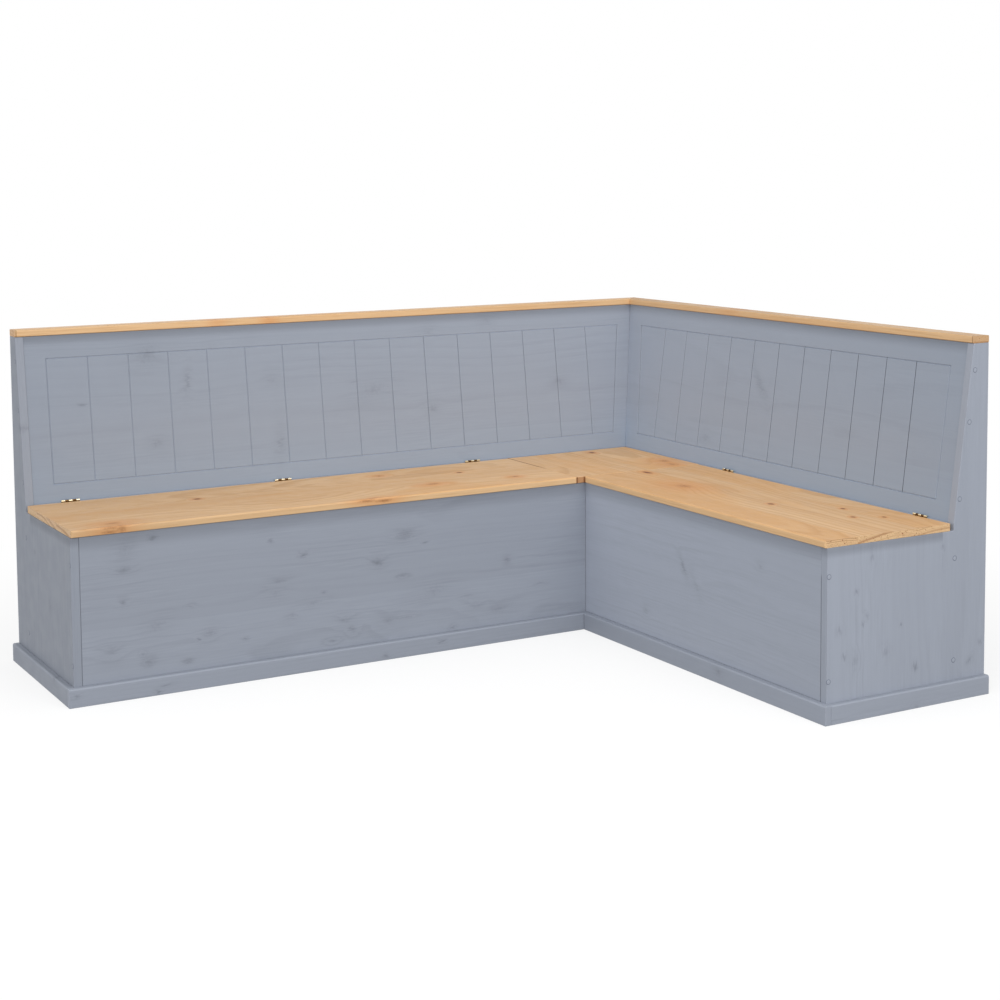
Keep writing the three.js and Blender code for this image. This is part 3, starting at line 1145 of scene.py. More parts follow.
@dataclass(frozen=True)
class EasedEdge:
    """The small rounding that sandpaper leaves on a board's arrises."""

    radius: float = 1.2 * MILLIMETRE
    segments: int = 3
    sharpest: float = math.radians(28)
    weld: float = 0.01 * MILLIMETRE
    flattest: float = math.radians(0.5)

    def ease(self, part: Piece) -> None:
        """Rounds the arrises of a part with modifiers, and leaves its mesh as it is.

        Args:
            part: The board.
        """
        weld = part.modifiers.new("joined_corners", "WELD")
        weld.merge_threshold = self.weld
        flat = part.modifiers.new("flat_faces", "DECIMATE")
        flat.decimate_type = "DISSOLVE"
        flat.angle_limit = self.flattest
        bevel = part.modifiers.new("eased_edges", "BEVEL")
        bevel.width = self.radius
        bevel.segments = self.segments
        bevel.limit_method = "ANGLE"
        bevel.angle_limit = self.sharpest
        bevel.use_clamp_overlap = True
        bevel.miter_outer = "MITER_ARC"


EDGE = EasedEdge()
SEAT_EDGE = EasedEdge(0.7 * MILLIMETRE, 2)


def dress_board(board: Board, finish: TimberFinish, edge: EasedEdge | None = None) -> Piece:
    """Gives a packed board its finish.

    Args:
        board: The board and how it was sawn.
        finish: What is on its surface.
        edge: The rounding of its arrises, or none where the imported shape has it.

    Returns:
        The board's object.
    """
    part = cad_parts[board.node]
    part.data.materials.clear()
    part.data.materials.append(finish.material(board))
    if edge is not None:
        edge.ease(part)
    return part


def new_object(name: str, data: bpy.types.ID) -> Piece:
    """Puts a new object in the scene.

    Args:
        name: The object's name.
        data: The mesh, lamp or camera that it shows.

    Returns:
        The object.
    """
    made = bpy.data.objects.new(name, data)
    bpy.context.scene.collection.objects.link(made)
    return made


def new_mesh(name: str, shape: Shape) -> Piece:
    """Puts a built shape in the scene.

    Args:
        name: The object's name.
        shape: Its mesh. It is freed here.

    Returns:
        The object.
    """
    mesh = bpy.data.meshes.new(name)
    shape.to_mesh(mesh)
    shape.free()
    return new_object(name, mesh)


def new_piece(name: str, shape: Shape, material: Material, body: Body) -> Piece:
    """Turns a built shape into a piece that rides on a body.

    Args:
        name: The piece's name.
        shape: Its mesh in the bench's frame. It is freed here.
        material: Its finish.
        body: What carries it.

    Returns:
        The piece.
    """
    bmesh.ops.recalc_face_normals(shape, faces=shape.faces)
    piece = new_mesh(name, shape)
    piece.data.materials.append(material)
    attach(piece, body.value)
    return piece


def ring_of(shape: Shape, place: Matrix, radius: float, height: float, steps: int) -> Ring:
    """Adds a ring of corners to a shape.

    Args:
        shape: The shape that it is added to.
        place: Where the ring's axis, its local Z, lies.
        radius: The ring's radius.
        height: Its height along the axis.
        steps: How many corners it has.

    Returns:
        The corners.
    """
    turns = [2 * math.pi * step / steps for step in range(steps)]
    flat = [(radius * math.cos(turn), radius * math.sin(turn)) for turn in turns]
    return [shape.verts.new(place @ Vector((x, y, height))) for x, y in flat]


def skin(shape: Shape, low: Ring, high: Ring) -> None:
    """Joins two rings of corners with faces, or a ring with a single corner.

    Args:
        shape: The shape that holds the corners.
        low: The first ring.
        high: The second one.
    """
    for step in range(max(len(low), len(high))):
        corners = [low[step % len(low)], low[(step + 1) % len(low)]]
        corners += [high[(step + 1) % len(high)], high[step % len(high)]]
        shape.faces.new(list(dict.fromkeys(corners)))


def revolve(shape: Shape, profile: Sequence[Pair], place: Matrix, steps: int) -> list[Ring]:
    """Adds a turned form to a shape.

    Args:
        shape: The shape that it is added to.
        profile: Radius and height of each point. A radius of nothing is a point on the axis.
        place: Where the form's axis, its local Z, lies.
        steps: Faces round the form.

    Returns:
        The form's rings of corners.
    """
    rings = [ring_of(shape, place, radius, height, steps if radius else 1) for radius, height in profile]
    for low, high in zip(rings, rings[1:]):
        skin(shape, low, high)
    return rings


def facing(point: Vector, normal: Vector, turn: float = 0.0) -> Matrix:
    """A place on a surface, with local Z along the surface's normal.

    Args:
        point: Where it is.
        normal: The surface's normal.
        turn: A turn about the normal, in radians.

    Returns:
        The placing matrix.
    """
    turned = normal.to_track_quat("Z", "Y").to_matrix().to_4x4()
    return Matrix.Translation(point) @ turned @ Matrix.Rotation(turn, 4, "Z")


@dataclass(frozen=True)
class Screw:
    """A countersunk screw's head with a cross recess."""

    radius: float = 3.6 * MILLIMETRE
    sink: float = 1.2 * MILLIMETRE
    proud: float = 0.15 * MILLIMETRE
    recess: float = 0.9 * MILLIMETRE
    arm_share: float = 0.62
    arm_width_share: float = 0.2
    taper: float = 0.8
    shank_share: float = 0.5
    steps: int = 24

    def add(self, shape: Shape, place: Matrix) -> None:
        """Adds one head to a shape.

        Args:
            shape: The shape that holds all the heads of one row.
            place: The head's place, with local Z out of the wood.
        """
        long_arm = self.radius * self.arm_share
        short_arm = self.radius * self.arm_width_share
        quarter = [(long_arm, -short_arm), (long_arm, short_arm), (short_arm, short_arm)]
        outline = []
        for turn in range(4):
            spin = Matrix.Rotation(turn * math.pi / 2, 2)
            outline += [spin @ Vector(corner) for corner in quarter]
        floor = self.proud - self.recess
        cross = [shape.verts.new(place @ Vector((*corner, self.proud))) for corner in outline]
        sunk = [shape.verts.new(place @ Vector((*(self.taper * corner), floor))) for corner in outline]
        shape.faces.new(sunk)
        skin(shape, cross, sunk)
        shank = self.radius * self.shank_share
        levels = ((self.radius, self.proud), (self.radius, 0.0), (shank, -self.sink))
        rims = revolve(shape, levels, place, self.steps)
        shape.faces.new(rims[-1])
        bmesh.ops.bridge_loops(shape, edges=self._loop_edges(cross) + self._loop_edges(rims[0]))

    @staticmethod
    def _loop_edges(ring: Ring) -> list[bmesh.types.BMEdge]:
        """The edges that join a closed ring of corners."""
        pairs = zip(ring, [*ring[1:], ring[0]])
        return [next(edge for edge in one.link_edges if edge.other_vert(one) is two) for one, two in pairs]


@dataclass
class PlugRow:
    """The wooden plugs over the screws in one end panel, painted with it."""

    leg: Leg
    places: tuple[Pair, ...]
    shade: float
    stave: float = 0.02
    radius: float = 6.0 * MILLIMETRE
    crown: float = 0.5 * MILLIMETRE
    line: float = 0.7 * MILLIMETRE
    seat: float = 0.12 * MILLIMETRE
    dome: tuple[Pair, ...] = ((0.0, 1.0), (0.45, 0.94), (0.85, 0.72))
    line_from: float = 0.9
    steps: int = 32

    def build(self) -> Piece:
        """Builds the row.

        Returns:
            The plugs as one piece.
        """
        board = Board(self.leg.node("end_panel"), self.leg.end, self.stave, shade=self.shade)
        panel = PanelFace.of(board)
        points = [panel.at(depth, up) for depth, up in self.places]
        outer = self.radius + self.line
        plug = [(out * self.radius, rise * self.crown) for out, rise in self.dome]
        plug += [(self.radius, self.seat), (outer, self.seat / 2), (outer, -self.seat), (0.0, -self.seat)]
        shape = bmesh.new()
        for point in points:
            revolve(shape, plug, facing(point, panel.normal), self.steps)
        name = self.leg.node("plugs")
        piece = new_piece(name, shape, PAINT.material(board), Body.FRAME)
        piece.data.materials[0].name = "paint_on_" + name
        piece.data.materials.append(PaintLine().material(name))
        for face in piece.data.polygons:
            face.use_smooth = True
            away = min((face.center - point).length for point in points)
            face.material_index = int(away > self.radius * self.line_from)
        return piece


@dataclass(frozen=True)
class PanelFace:
    """The outer face of an end panel, on which a point is found by depth and height."""

    corner: Vector
    away: Vector
    normal: Vector

    @classmethod
    def of(cls, board: Board) -> "PanelFace":
        """The face of one panel.

        Args:
            board: The panel.

        Returns:
            Its face, from the foot of its edge at the wall.
        """
        low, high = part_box(board.node)
        _, across, through = board.grain.value
        corner, away, normal = Vector(), Vector(), Vector()
        corner[across], corner[through] = high[across], low[through]
        away[across] = -1.0
        normal[through] = -1.0
        return cls(corner, away, normal)

    def at(self, depth: float, up: float) -> Vector:
        """The point on the face at a depth from the wall and a height."""
        return self.corner + self.away * depth + Vector((0.0, 0.0, up))


@dataclass(frozen=True)
class PinLine:
    """Where a packed hinge's pin lies: the frame's axis along it, its middle and its length."""

    axis: int
    centre: Vector
    length: float

    @classmethod
    def of(cls, node: str) -> "PinLine":
        """Finds the line of a packed pin.

        Args:
            node: The pin's name.

        Returns:
            The line.
        """
        low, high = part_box(node)
        size = high - low
        axis = 0 if size.x > size.y else 1
        return cls(axis, (low + high) / 2, size[axis])

    @property
    def side(self) -> int:
        """The frame's level axis across the pin."""
        return 1 - self.axis

    def place(self) -> Matrix:
        """The middle of the pin, with local Z along it."""
        return facing(self.centre, Vector((float(self.side), float(self.axis), 0.0)))


@dataclass
class Hinge:
    """A brass butt hinge with round knuckles, a headed pin and screwed leaves."""

    prefix: str
    lid_body: Body
    knuckles: int = 5
    play: float = 0.3 * MILLIMETRE
    knuckle: float = 2.75 * MILLIMETRE
    chamfer: float = 0.35 * MILLIMETRE
    bore: float = 1.6 * MILLIMETRE
    barrel: Pair = (0.9, 1.02)
    dome: float = 0.3 * MILLIMETRE
    crown: tuple[Pair, ...] = ((0.0, 0.0), (0.7, 0.3), (1.0, 1.0))
    weld: float = 0.002 * MILLIMETRE
    screw_turn: float = 0.4
    steps: int = 28
    screw: Screw = Screw(
        radius=1.6 * MILLIMETRE, sink=0.7 * MILLIMETRE, proud=0.02 * MILLIMETRE, recess=0.4 * MILLIMETRE
    )

    def build(self) -> list[Piece]:
        """Builds both leaves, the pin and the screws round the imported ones.

        Returns:
            The hinge's pieces.
        """
        pin = PinLine.of(self.prefix + "_pin")
        made = []
        for leaf, body, own in (("_fixed_leaf", Body.FRAME, 0), ("_lid_leaf", self.lid_body, 1)):
            made.append(self._leaf(self.prefix + leaf, body, own, pin))
            made.append(self._screws(self.prefix + leaf, body, pin))
        made.append(self._pin(pin))
        return made

    def _leaf(self, node: str, body: Body, own: int, pin: PinLine) -> Piece:
        """One leaf: its plate with screw holes, and its own knuckles bored for the pin.

        Args:
            node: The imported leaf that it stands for.
            body: What carries it.
            own: 0 if it has the outer knuckles, 1 if it has the others.
            pin: The pin's line.

        Returns:
            The leaf.
        """
        shape = bmesh.new()
        shape.from_mesh(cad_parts[node].data)
        bmesh.ops.remove_doubles(shape, verts=shape.verts, dist=self.weld)
        barrel = [face for face in shape.faces if self._is_barrel(face, pin)]
        bmesh.ops.delete(shape, geom=barrel, context="FACES")
        pitch = pin.length / self.knuckles
        mouth = self.knuckle - self.chamfer
        for number in range(own, self.knuckles, 2):
            start = number * pitch - pin.length / 2 + self.play / 2
            end = start + pitch - self.play
            ring = [(self.bore, start), (mouth, start), (self.knuckle, start + self.chamfer)]
            ring += [(self.knuckle, end - self.chamfer), (mouth, end), (self.bore, end)]
            revolve(shape, [*ring, ring[0]], pin.place(), self.steps)
        # The lid leaf takes the darker copy of the brass, as painted shade between the bright knuckles.
        metal = SHADED_BRASS if own else BRIGHT_BRASS
        piece = new_piece(node + "_plate", shape, metal.material(), body)
        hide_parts(node)
        for face in piece.data.polygons:
            face.use_smooth = False
        return piece

    def _is_barrel(self, face: bmesh.types.BMFace, pin: PinLine) -> bool:
        """Whether a face belongs to a knuckle's round or its bore.

        Args:
            face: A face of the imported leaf.
            pin: The pin's line.

        Returns:
            True if it does.
        """
        if face.calc_center_median().z <= pin.centre.z - self.knuckle:
            return False
        arms = [corner.co - pin.centre for corner in face.verts]
        away = [math.hypot(arm[pin.side], arm.z) for arm in arms]
        nearest, furthest = self.barrel
        return max(away) < self.knuckle * furthest and min(away) > self.bore * nearest

    def _pin(self, pin: PinLine) -> Piece:
        """The pin, with a low domed head at each end.

        Args:
            pin: The pin's line.

        Returns:
            The pin.
        """
        node = self.prefix + "_pin"
        radius = self.bore - self.play
        half = pin.length / 2
        head = [(out * radius, rise * self.dome - half) for out, rise in self.crown]
        profile = head + [(out, -height) for out, height in reversed(head)]
        shape = bmesh.new()
        revolve(shape, profile, pin.place(), self.steps)
        piece = new_piece(node + "_turned", shape, BRIGHT_BRASS.material(), Body.FRAME)
        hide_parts(node)
        return piece

    def _screws(self, node: str, body: Body, pin: PinLine) -> Piece:
        """The two screws in a leaf, their heads flush with its face in the gap.

        Args:
            node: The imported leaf.
            body: What carries it.
            pin: The pin's line.

        Returns:
            The screws as one piece.
        """
        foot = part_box(node)[0].z
        middle = pin.centre[pin.side]
        inner = min(self._plate_faces(node, pin), key=lambda place: abs(place - middle))
        normal = Vector()
        normal[pin.side] = -1.0 if inner > middle else 1.0
        shape = bmesh.new()
        for end in (-1, 1):
            point = pin.centre.copy()
            point[pin.axis] += end * (pin.length / 2 - pin.length / self.knuckles)
            point[pin.side] = inner
            point.z = (foot + pin.centre.z - self.knuckle - self.play) / 2
            self.screw.add(shape, facing(point, normal, self.screw_turn * end))
        return new_piece(node + "_screws", shape, BRIGHT_BRASS.material(), body)

    def _plate_faces(self, node: str, pin: PinLine) -> Pair:
        """The two faces of a leaf's plate, below its knuckles.

        Args:
            node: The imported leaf.
            pin: The pin's line.

        Returns:
            Their places on the level axis across the pin.
        """
        below = pin.centre.z - 2 * self.knuckle
        places = [v.co[pin.side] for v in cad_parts[node].data.vertices if v.co.z < below]
        return min(places), max(places)


@dataclass
class Lid:
    """A seat board that lifts: its oiled top, its bare battens and their screws."""

    leg: Leg
    battens: int
    shade_grade: Pair
    knots: tuple[Knot, ...]
    stave: float = 0.1
    screw_margin: float = 28 * MILLIMETRE
    screws: int = 3
    screw_turn: float = 0.7
    screw: Screw = Screw()

    def _batten_nodes(self) -> list[str]:
        """The names of its battens."""
        return [self.leg.node(f"lid_batten_{number}") for number in range(1, self.battens + 1)]

    def build(self) -> list[Piece]:
        """Builds the screws that hold the battens to the lid.

        Returns:
            One piece for each batten.
        """
        run = self.leg.cross_flat.value[0]
        down = Vector((0.0, 0.0, -1.0))
        made = []
        for node in self._batten_nodes():
            low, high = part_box(node)
            first, last = low[run] + self.screw_margin, high[run] - self.screw_margin
            shape = bmesh.new()
            for number in range(self.screws):
                point = (low + high) / 2
                point[run] = first + number / (self.screws - 1) * (last - first)
                point.z = low.z
                self.screw.add(shape, facing(point, down, self.screw_turn * number))
            metal = SHADED_BRASS.material()
            made.append(new_piece(node + "_screws", shape, metal, self.leg.lid))
        return made

    def dress(self) -> list[Piece]:
        """Oils the lid and leaves the battens bare.

        Returns:
            The dressed boards.
        """
        leg = self.leg
        lid = Board(leg.node("lid"), leg.flat, self.stave, knots=self.knots, shade_grade=self.shade_grade)
        battens = [Board(node, leg.cross_flat, ONE_PIECE) for node in self._batten_nodes()]
        return [dress_board(lid, OIL, SEAT_EDGE), *(dress_board(board, BARE, EDGE) for board in battens)]


@dataclass
class Back:
    """The leaning grooved back of one leg, and the cap rail over it."""

    leg: Leg
    face: float
    shade: float
    cool: float
    shade_grade: Pair
    # The cap's painted shade on its top and on its sides, lower on the top that the lamp overhead lights
    # most.
    cap_shades: Pair
    cap_seam: float
    lip_shade_span: Pair
    grooves: GrooveShade
    knots: tuple[Knot, ...]
    lean: float = 0.1335
    stave: float = 0.135
    figure: float = 0.6
    lip_shade_share: float = 0.23
    cap_burnt: float = 0.3
    cap_seam_depth: float = 0.6

    def dress(self) -> list[Piece]:
        """Paints the back and oils the cap rail.

        Returns:
            The dressed boards.
        """
        leg = self.leg
        cap_node = leg.node("cap_rail")
        back = Board(
            leg.node("backrest"), leg.upright, self.stave, self.lean, self.knots,
            shade=self.shade, cool=self.cool, face=self.face, grooves=self.grooves,
            lip_shade=LipShade(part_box(cap_node)[0].z, self.lip_shade_share, *self.lip_shade_span),
            figure=self.figure, shade_grade=self.shade_grade,
        )
        top, side = self.cap_shades
        cap = Board(
            cap_node, leg.flat, ONE_PIECE, strays=2, shade=top, edge_shade=side, burnt=self.cap_burnt,
            seams=(Seam(False, self.cap_seam, self.cap_seam_depth, WIDE_SEAM),),
        )
        return [dress_board(back, PAINT), dress_board(cap, OIL)]


@dataclass
class Chest:
    """The box of one leg: painted panels, ribs and plinths over bare cleats and a bare floor.

    The shades, partly painted light, are those of its front, its end, its front plinth and its end plinth.
    """

    leg: Leg
    ribs: int
    front_knots: tuple[Knot, ...]
    end_knots: tuple[Knot, ...]
    plinth_knots: tuple[Knot, ...]
    shades: tuple[float, float, float, float]
    front_shade_grade: Pair
    # Painted shade on the end panel's edges.
    edge_shade: float
    end_limit: float
    front_steps: tuple[Pair, ...]
    end_steps: tuple[Pair, ...]
    seam_depth: float
    seam_fade: Pair | None
    side_seam_share: float = 1.5
    end_lip_shade: tuple[float, ...] = (0.26, 30 * MILLIMETRE, 8 * MILLIMETRE, 0.0)
    end_stave: float = 0.125
    stave: float = 0.12
    floor_stave: float = 0.14
    strays: int = 6

    def _front_seams(self) -> tuple[Seam, ...]:
        """The dark lines round the front panel: over the plinth, and beside the end panel's edge.

        Returns:
            Both lines.
        """
        low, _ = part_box(self.leg.node("front_panel"))
        _, plinth_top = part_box(self.leg.node("front_plinth"))
        at = low[self.leg.upright.value[0]]
        side = Seam(False, at, self.side_seam_share * self.seam_depth, WIDE_SEAM, self.seam_fade)
        return (Seam(True, plinth_top.z, self.seam_depth), side)

    def dress(self) -> list[Piece]:
        """Paints the panels, ribs and plinths, and leaves the inner boards bare.

        Returns:
            The dressed boards.
        """
        leg = self.leg
        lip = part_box(leg.node("lid"))[0].z
        front, end, plinth, end_plinth = self.shades
        end_shade_under_lid = LipShade(lip, *self.end_lip_shade, upended=True, limit=self.end_limit)
        painted = [
            Board(
                leg.node("end_panel"), leg.end, self.end_stave, knots=self.end_knots, shade=end,
                steps=self.end_steps, lip_shade=end_shade_under_lid, edge_shade=self.edge_shade,
            ),
            Board(
                leg.node("front_panel"), leg.upright, self.stave, knots=self.front_knots, shade=front,
                seams=self._front_seams(), steps=self.front_steps, lip_shade=LipShade(lip),
                shade_grade=self.front_shade_grade,
            ),
            Board(leg.node("back_panel"), leg.upright, self.stave, strays=self.strays),
            Board(leg.node("front_plinth"), leg.upright, ONE_PIECE, knots=self.plinth_knots, shade=plinth),
            Board(leg.node("end_plinth"), leg.cross_upright, ONE_PIECE, strays=1, shade=end_plinth),
        ]
        for number in range(1, self.ribs + 1):
            painted.append(Board(leg.node(f"back_rib_{number}"), leg.end, ONE_PIECE, strays=1))
        bare = [
            Board(leg.node("back_floor_cleat"), leg.flat, ONE_PIECE),
            Board(leg.node("front_floor_cleat"), leg.flat, ONE_PIECE),
            Board(leg.node("seam_rail"), leg.cross_upright, ONE_PIECE),
            Board(leg.node("bottom_board"), leg.flat, self.floor_stave, strays=self.strays),
        ]
        made = [dress_board(board, PAINT, EDGE) for board in painted]
        return made + [dress_board(board, BARE, EDGE) for board in bare]


@dataclass
class Corner:
    """Where the legs meet: the fixed seat, the posts that carry it and their cleats."""

    seat_knots: tuple[Knot, ...]
    seams: tuple[Seam, ...]
    stave: float = 0.105
    # Painted light that lifts the fixed seat where the corner shades it.
    seat_shade: float = 1.11
    seat_burnt: float = 0.62

    def dress(self) -> list[Piece]:
        """Oils the fixed seat, paints the inner post and leaves the rest bare.

        Returns:
            The dressed boards.
        """
        seat = Board(
            "corner_seat", Grain.SHORT_FLAT, self.stave, knots=self.seat_knots, shade=self.seat_shade,
            seams=self.seams, burnt=self.seat_burnt,
        )
        post = Board("inner_corner_post", Grain.UP_FACING_Y, ONE_PIECE)
        bare = [
            Board("back_corner_post", Grain.UP_FACING_Y, ONE_PIECE),
            Board("corner_seat_long_cleat", Grain.LONG_FLAT, ONE_PIECE),
            Board("corner_seat_short_cleat", Grain.SHORT_FLAT, ONE_PIECE),
            Board("corner_floor_bearer", Grain.LONG_FLAT, ONE_PIECE),
        ]
        made = [dress_board(seat, OIL, SEAT_EDGE), dress_board(post, PAINT, EDGE)]
        return made + [dress_board(board, BARE, EDGE) for board in bare]


@dataclass(frozen=True)
class Lamp:
    """A soft box: a square of light aimed at a point."""

    name: str
    place: Vector
    target: Vector
    size: float
    power: float

    def light(self) -> Piece:
        """Hangs the lamp.

        Returns:
            The lamp.
        """
        data = bpy.data.lights.new(self.name, "AREA")
        data.shape = "SQUARE"
        data.size = self.size
        data.energy = self.power
        lamp = new_object(self.name, data)
        lamp.visible_camera = False
        lamp.location = self.place
        lamp.rotation_mode = "QUATERNION"
        lamp.rotation_quaternion = (self.target - self.place).to_track_quat("-Z", "Y")
        return lamp


@dataclass
class Studio:
    """A pale floor, soft light all round and four soft boxes."""

    floor_size: float = 60.0
    floor_squares: int = 8
    floor_tint: Tint = Tint(250, 250, 250)
    floor_unseen: Tint = Tint(149, 149, 149)
    floor_glow: float = 0.72
    clear_from: float = 1.3
    clear_to: float = 2.4
    sky: float = 0.66
    lamps: tuple[Lamp, ...] = (
        Lamp("top_box", Vector((0.0, -0.4, 4.4)), Vector((0.1, 0.1, 0.4)), 3.0, 28.0),
        Lamp("front_box", Vector((0.6, -4.2, 2.6)), Vector((0.2, 0.0, 0.4)), 2.4, 60.0),
        Lamp("side_box", Vector((-5.6, 0.2, 2.8)), Vector((0.4, 0.0, 0.5)), 3.2, 58.0),
        Lamp("corner_box", Vector((-3.2, -4.2, 3.2)), Vector((0.3, 0.1, 0.4)), 2.4, 115.0),
    )

    def build(self) -> list[Piece]:
        """Lays the floor, lights the room and hangs the lamps.

        Returns:
            The floor and the lamps.
        """
        self._light_room()
        return [self._lay_floor(), *(lamp.light() for lamp in self.lamps)]

    def _seen(self, recipe: Recipe) -> Socket:
        """Tells the rays that see a surface from those that carry soft light.

        Args:
            recipe: The tree of a material or the world.

        Returns:
            1 for a ray that the camera, a polished surface or a clear one looks along.
        """
        path = recipe.node("ShaderNodeLightPath", {}).outputs
        looked = recipe.math("MAXIMUM", path["Is Camera Ray"], path["Is Glossy Ray"])
        return recipe.math("MAXIMUM", looked, path["Is Transmission Ray"])

    def _light_room(self) -> None:
        """Makes the world white where it is seen, and a plain even light elsewhere."""
        world = bpy.data.worlds.new("studio_white")
        world.use_nodes = True
        recipe = Recipe(world.node_tree)
        level = recipe.times_plus(self._seen(recipe), 1.0 - self.sky, self.sky)
        back = recipe.node("ShaderNodeBackground", {"Color": (1.0, 1.0, 1.0, 1.0), "Strength": level})
        recipe.node("ShaderNodeOutputWorld", {"Surface": back.outputs[0]})
        bpy.context.scene.world = world

    def _lay_floor(self) -> Piece:
        """Lays a floor that keeps the shadow near the bench and is plain white further off.

        Returns:
            The floor.
        """
        shape = bmesh.new()
        count = self.floor_squares
        bmesh.ops.create_grid(shape, x_segments=count, y_segments=count, size=self.floor_size / 2)
        floor = new_mesh("floor", shape)
        material, recipe = new_material("pale_floor")
        place = recipe.place()
        away = recipe.length(place)
        clear = recipe.span(away, self.clear_from, self.clear_to, self.floor_glow, 1.0)
        seen = self._seen(recipe)
        share = recipe.times(clear, seen)
        tint = recipe.mixed(seen, self.floor_unseen, self.floor_tint)
        matt = recipe.node("ShaderNodeBsdfDiffuse", {"Color": tint})
        white = recipe.node("ShaderNodeEmission", {"Color": (1.0, 1.0, 1.0, 1.0), "Strength": 1.0})
        shader = recipe.node("ShaderNodeMixShader", {0: share, 1: matt.outputs[0], 2: white.outputs[0]})
        recipe.node("ShaderNodeOutputMaterial", {"Surface": shader.outputs[0]})
        floor.data.materials.append(material)
        return floor


@dataclass
class Viewpoint:
    """The camera at the photograph's viewing angle, in pixels of a picture 1000 wide and high."""

    station: Vector = Vector((-2.27345, -4.12635, 1.3327))
    yaw: float = math.radians(29.768)
    pitch: float = math.radians(-4.865)
    roll: float = math.radians(0.430)
    focal: float = 1845.9
    centre: Pair = (508.0, 319.8)
    picture: float = 1000.0
    sensor: float = 36.0

    def build(self) -> Piece:
        """Sets up the camera.

        Returns:
            The camera.
        """
        level = math.cos(self.pitch)
        ahead = Vector((math.sin(self.yaw) * level, math.cos(self.yaw) * level, math.sin(self.pitch)))
        flat_right = Vector((math.cos(self.yaw), -math.sin(self.yaw), 0.0))
        flat_down = ahead.cross(flat_right)
        right = math.cos(self.roll) * flat_right + math.sin(self.roll) * flat_down
        down = math.cos(self.roll) * flat_down - math.sin(self.roll) * flat_right
        data = bpy.data.cameras.new("viewpoint")
        data.sensor_width = self.sensor
        data.lens = self.focal / self.picture * self.sensor
        data.shift_x = (self.picture / 2 - self.centre[0]) / self.picture
        data.shift_y = (self.centre[1] - self.picture / 2) / self.picture
        camera = new_object("viewpoint", data)
        turned = Matrix((right, -down, -ahead)).transposed().to_4x4()
        camera.matrix_world = Matrix.Translation(self.station) @ turned
        bpy.context.scene.camera = camera
        return camera


# Where the flat of each leaning back lies through it, and how its grooves are shaded.
LONG_FACE = 0.6315
SHORT_FACE = 0.8440
LONG_GROOVES = GrooveShade(level=-0.35, first=-0.14, last=0.2, run=(-0.8, 0.79), middle=0.0, half=1.2)
SHORT_GROOVES = GrooveShade(level=-0.18, first=0.42, last=0.72, run=(0.54, -0.58), middle=0.04, half=0.7)
# The depth from the wall and the height of each plug in an end panel.
PLUGS = (
    (0.045, 0.816),
    (0.061, 0.688),
    (0.090, 0.499),
    (0.104, 0.353),
    (0.104, 0.097),
    (0.500, 0.353),
    (0.500, 0.100),
)
# The knots that tell in each board, by their places along and across it.
LONG_SEAT_KNOTS = (
    Knot(-0.571, 0.538, 0.008),
    Knot(-0.186, 0.2862, 0.0045, 3.4, 0.0, 0.8, 0.436, 0.0022),
    Knot(-0.136, 0.2862, 0.0045, 2.8, 0.0, 0.7, 0.432, 0.0026),
    Knot(-0.165, 0.296, 0.003, 3.2, 0.2, 0.8),
    Knot(0.073, 0.405, 0.006, 1.8, depth=0.6),
    Knot(0.225, 0.534, 0.0065),
    Knot(0.003, 0.606, 0.005, depth=0.6),
    Knot(0.329, 0.390, 0.0055, depth=0.7),
    Knot(-0.886, 0.2862, 0.0035, 3.4, 0.0, 0.5, 0.4375, 0.0016),
    Knot(-0.890, 0.2862, 0.0035, 3.6, 0.0, 0.45, 0.4275, 0.0022),
    Knot(-0.861, 0.2862, 0.005, 0.9, 0.0, 0.25, 0.433, 0.007),
    Knot(-0.870, 0.330, 0.006, 1.8, 0.0, 0.4),
)
CORNER_SEAT_KNOTS = (
    Knot(0.639, 0.747, 0.009, 1.5),
    Knot(0.387, 0.845, 0.006, depth=0.25),
    Knot(0.330, 0.831, 0.006, depth=0.2),
)
CORNER_SEAMS = (
    Seam(True, 0.4728, 1.0, 4.2 * MILLIMETRE, (0.2876, 0.2868)),
    Seam(True, 0.4976, 0.75, 4.6 * MILLIMETRE, (0.2876, 0.2868)),
    Seam(True, 0.4724, 0.75, 5.5 * MILLIMETRE, (0.42, 0.53)),
)
SHORT_SEAT_KNOTS = (
    Knot(0.245, 0.685, 0.009, 2.0),
    Knot(0.006, 0.646, 0.007, 1.6, depth=0.2),
    Knot(-0.334, 0.682, 0.0075),
    Knot(-0.484, 0.798, 0.006),
    Knot(-0.584, 0.746, 0.006),
    Knot(-0.625, 0.812, 0.005),
)
LONG_BACK_KNOTS = (
    Knot(-0.822, 0.692, 0.004, 3.4, 0.0, 1.0),
    Knot(-0.632, 0.814, 0.024, 1.4, 0.4, 0.5),
    Knot(-0.523, 0.734, 0.0075, 4.4, 1.45, 0.6),
    Knot(-0.620, 0.574, 0.013, 1.2, 0.0, 0.55),
    Knot(-0.270, 0.723, 0.010, 1.3, 0.0, 0.3),
    Knot(-0.258, 0.545, 0.0085, 3.0, 1.5, 0.4),
    Knot(-0.019, 0.701, 0.0035, 4.0, 0.1, 0.5),
    Knot(0.043, 0.674, 0.018, 2.4, 0.3, 0.35),
    Knot(0.235, 0.608, 0.012, 1.2, 0.0, 0.5),
    Knot(0.237, 0.835, 0.010, 1.6, 0.0, 0.3),
    Knot(0.433, 0.858, 0.009, 1.5, 0.0, 0.3),
    Knot(0.675, 0.662, 0.012, 1.4, 0.0, 0.4),
)
SHORT_BACK_KNOTS = (
    Knot(0.044, 0.697, 0.009, 3.6, 0.9, 0.6),
    Knot(0.278, 0.518, 0.010, 1.2, 0.0, 0.5),
)
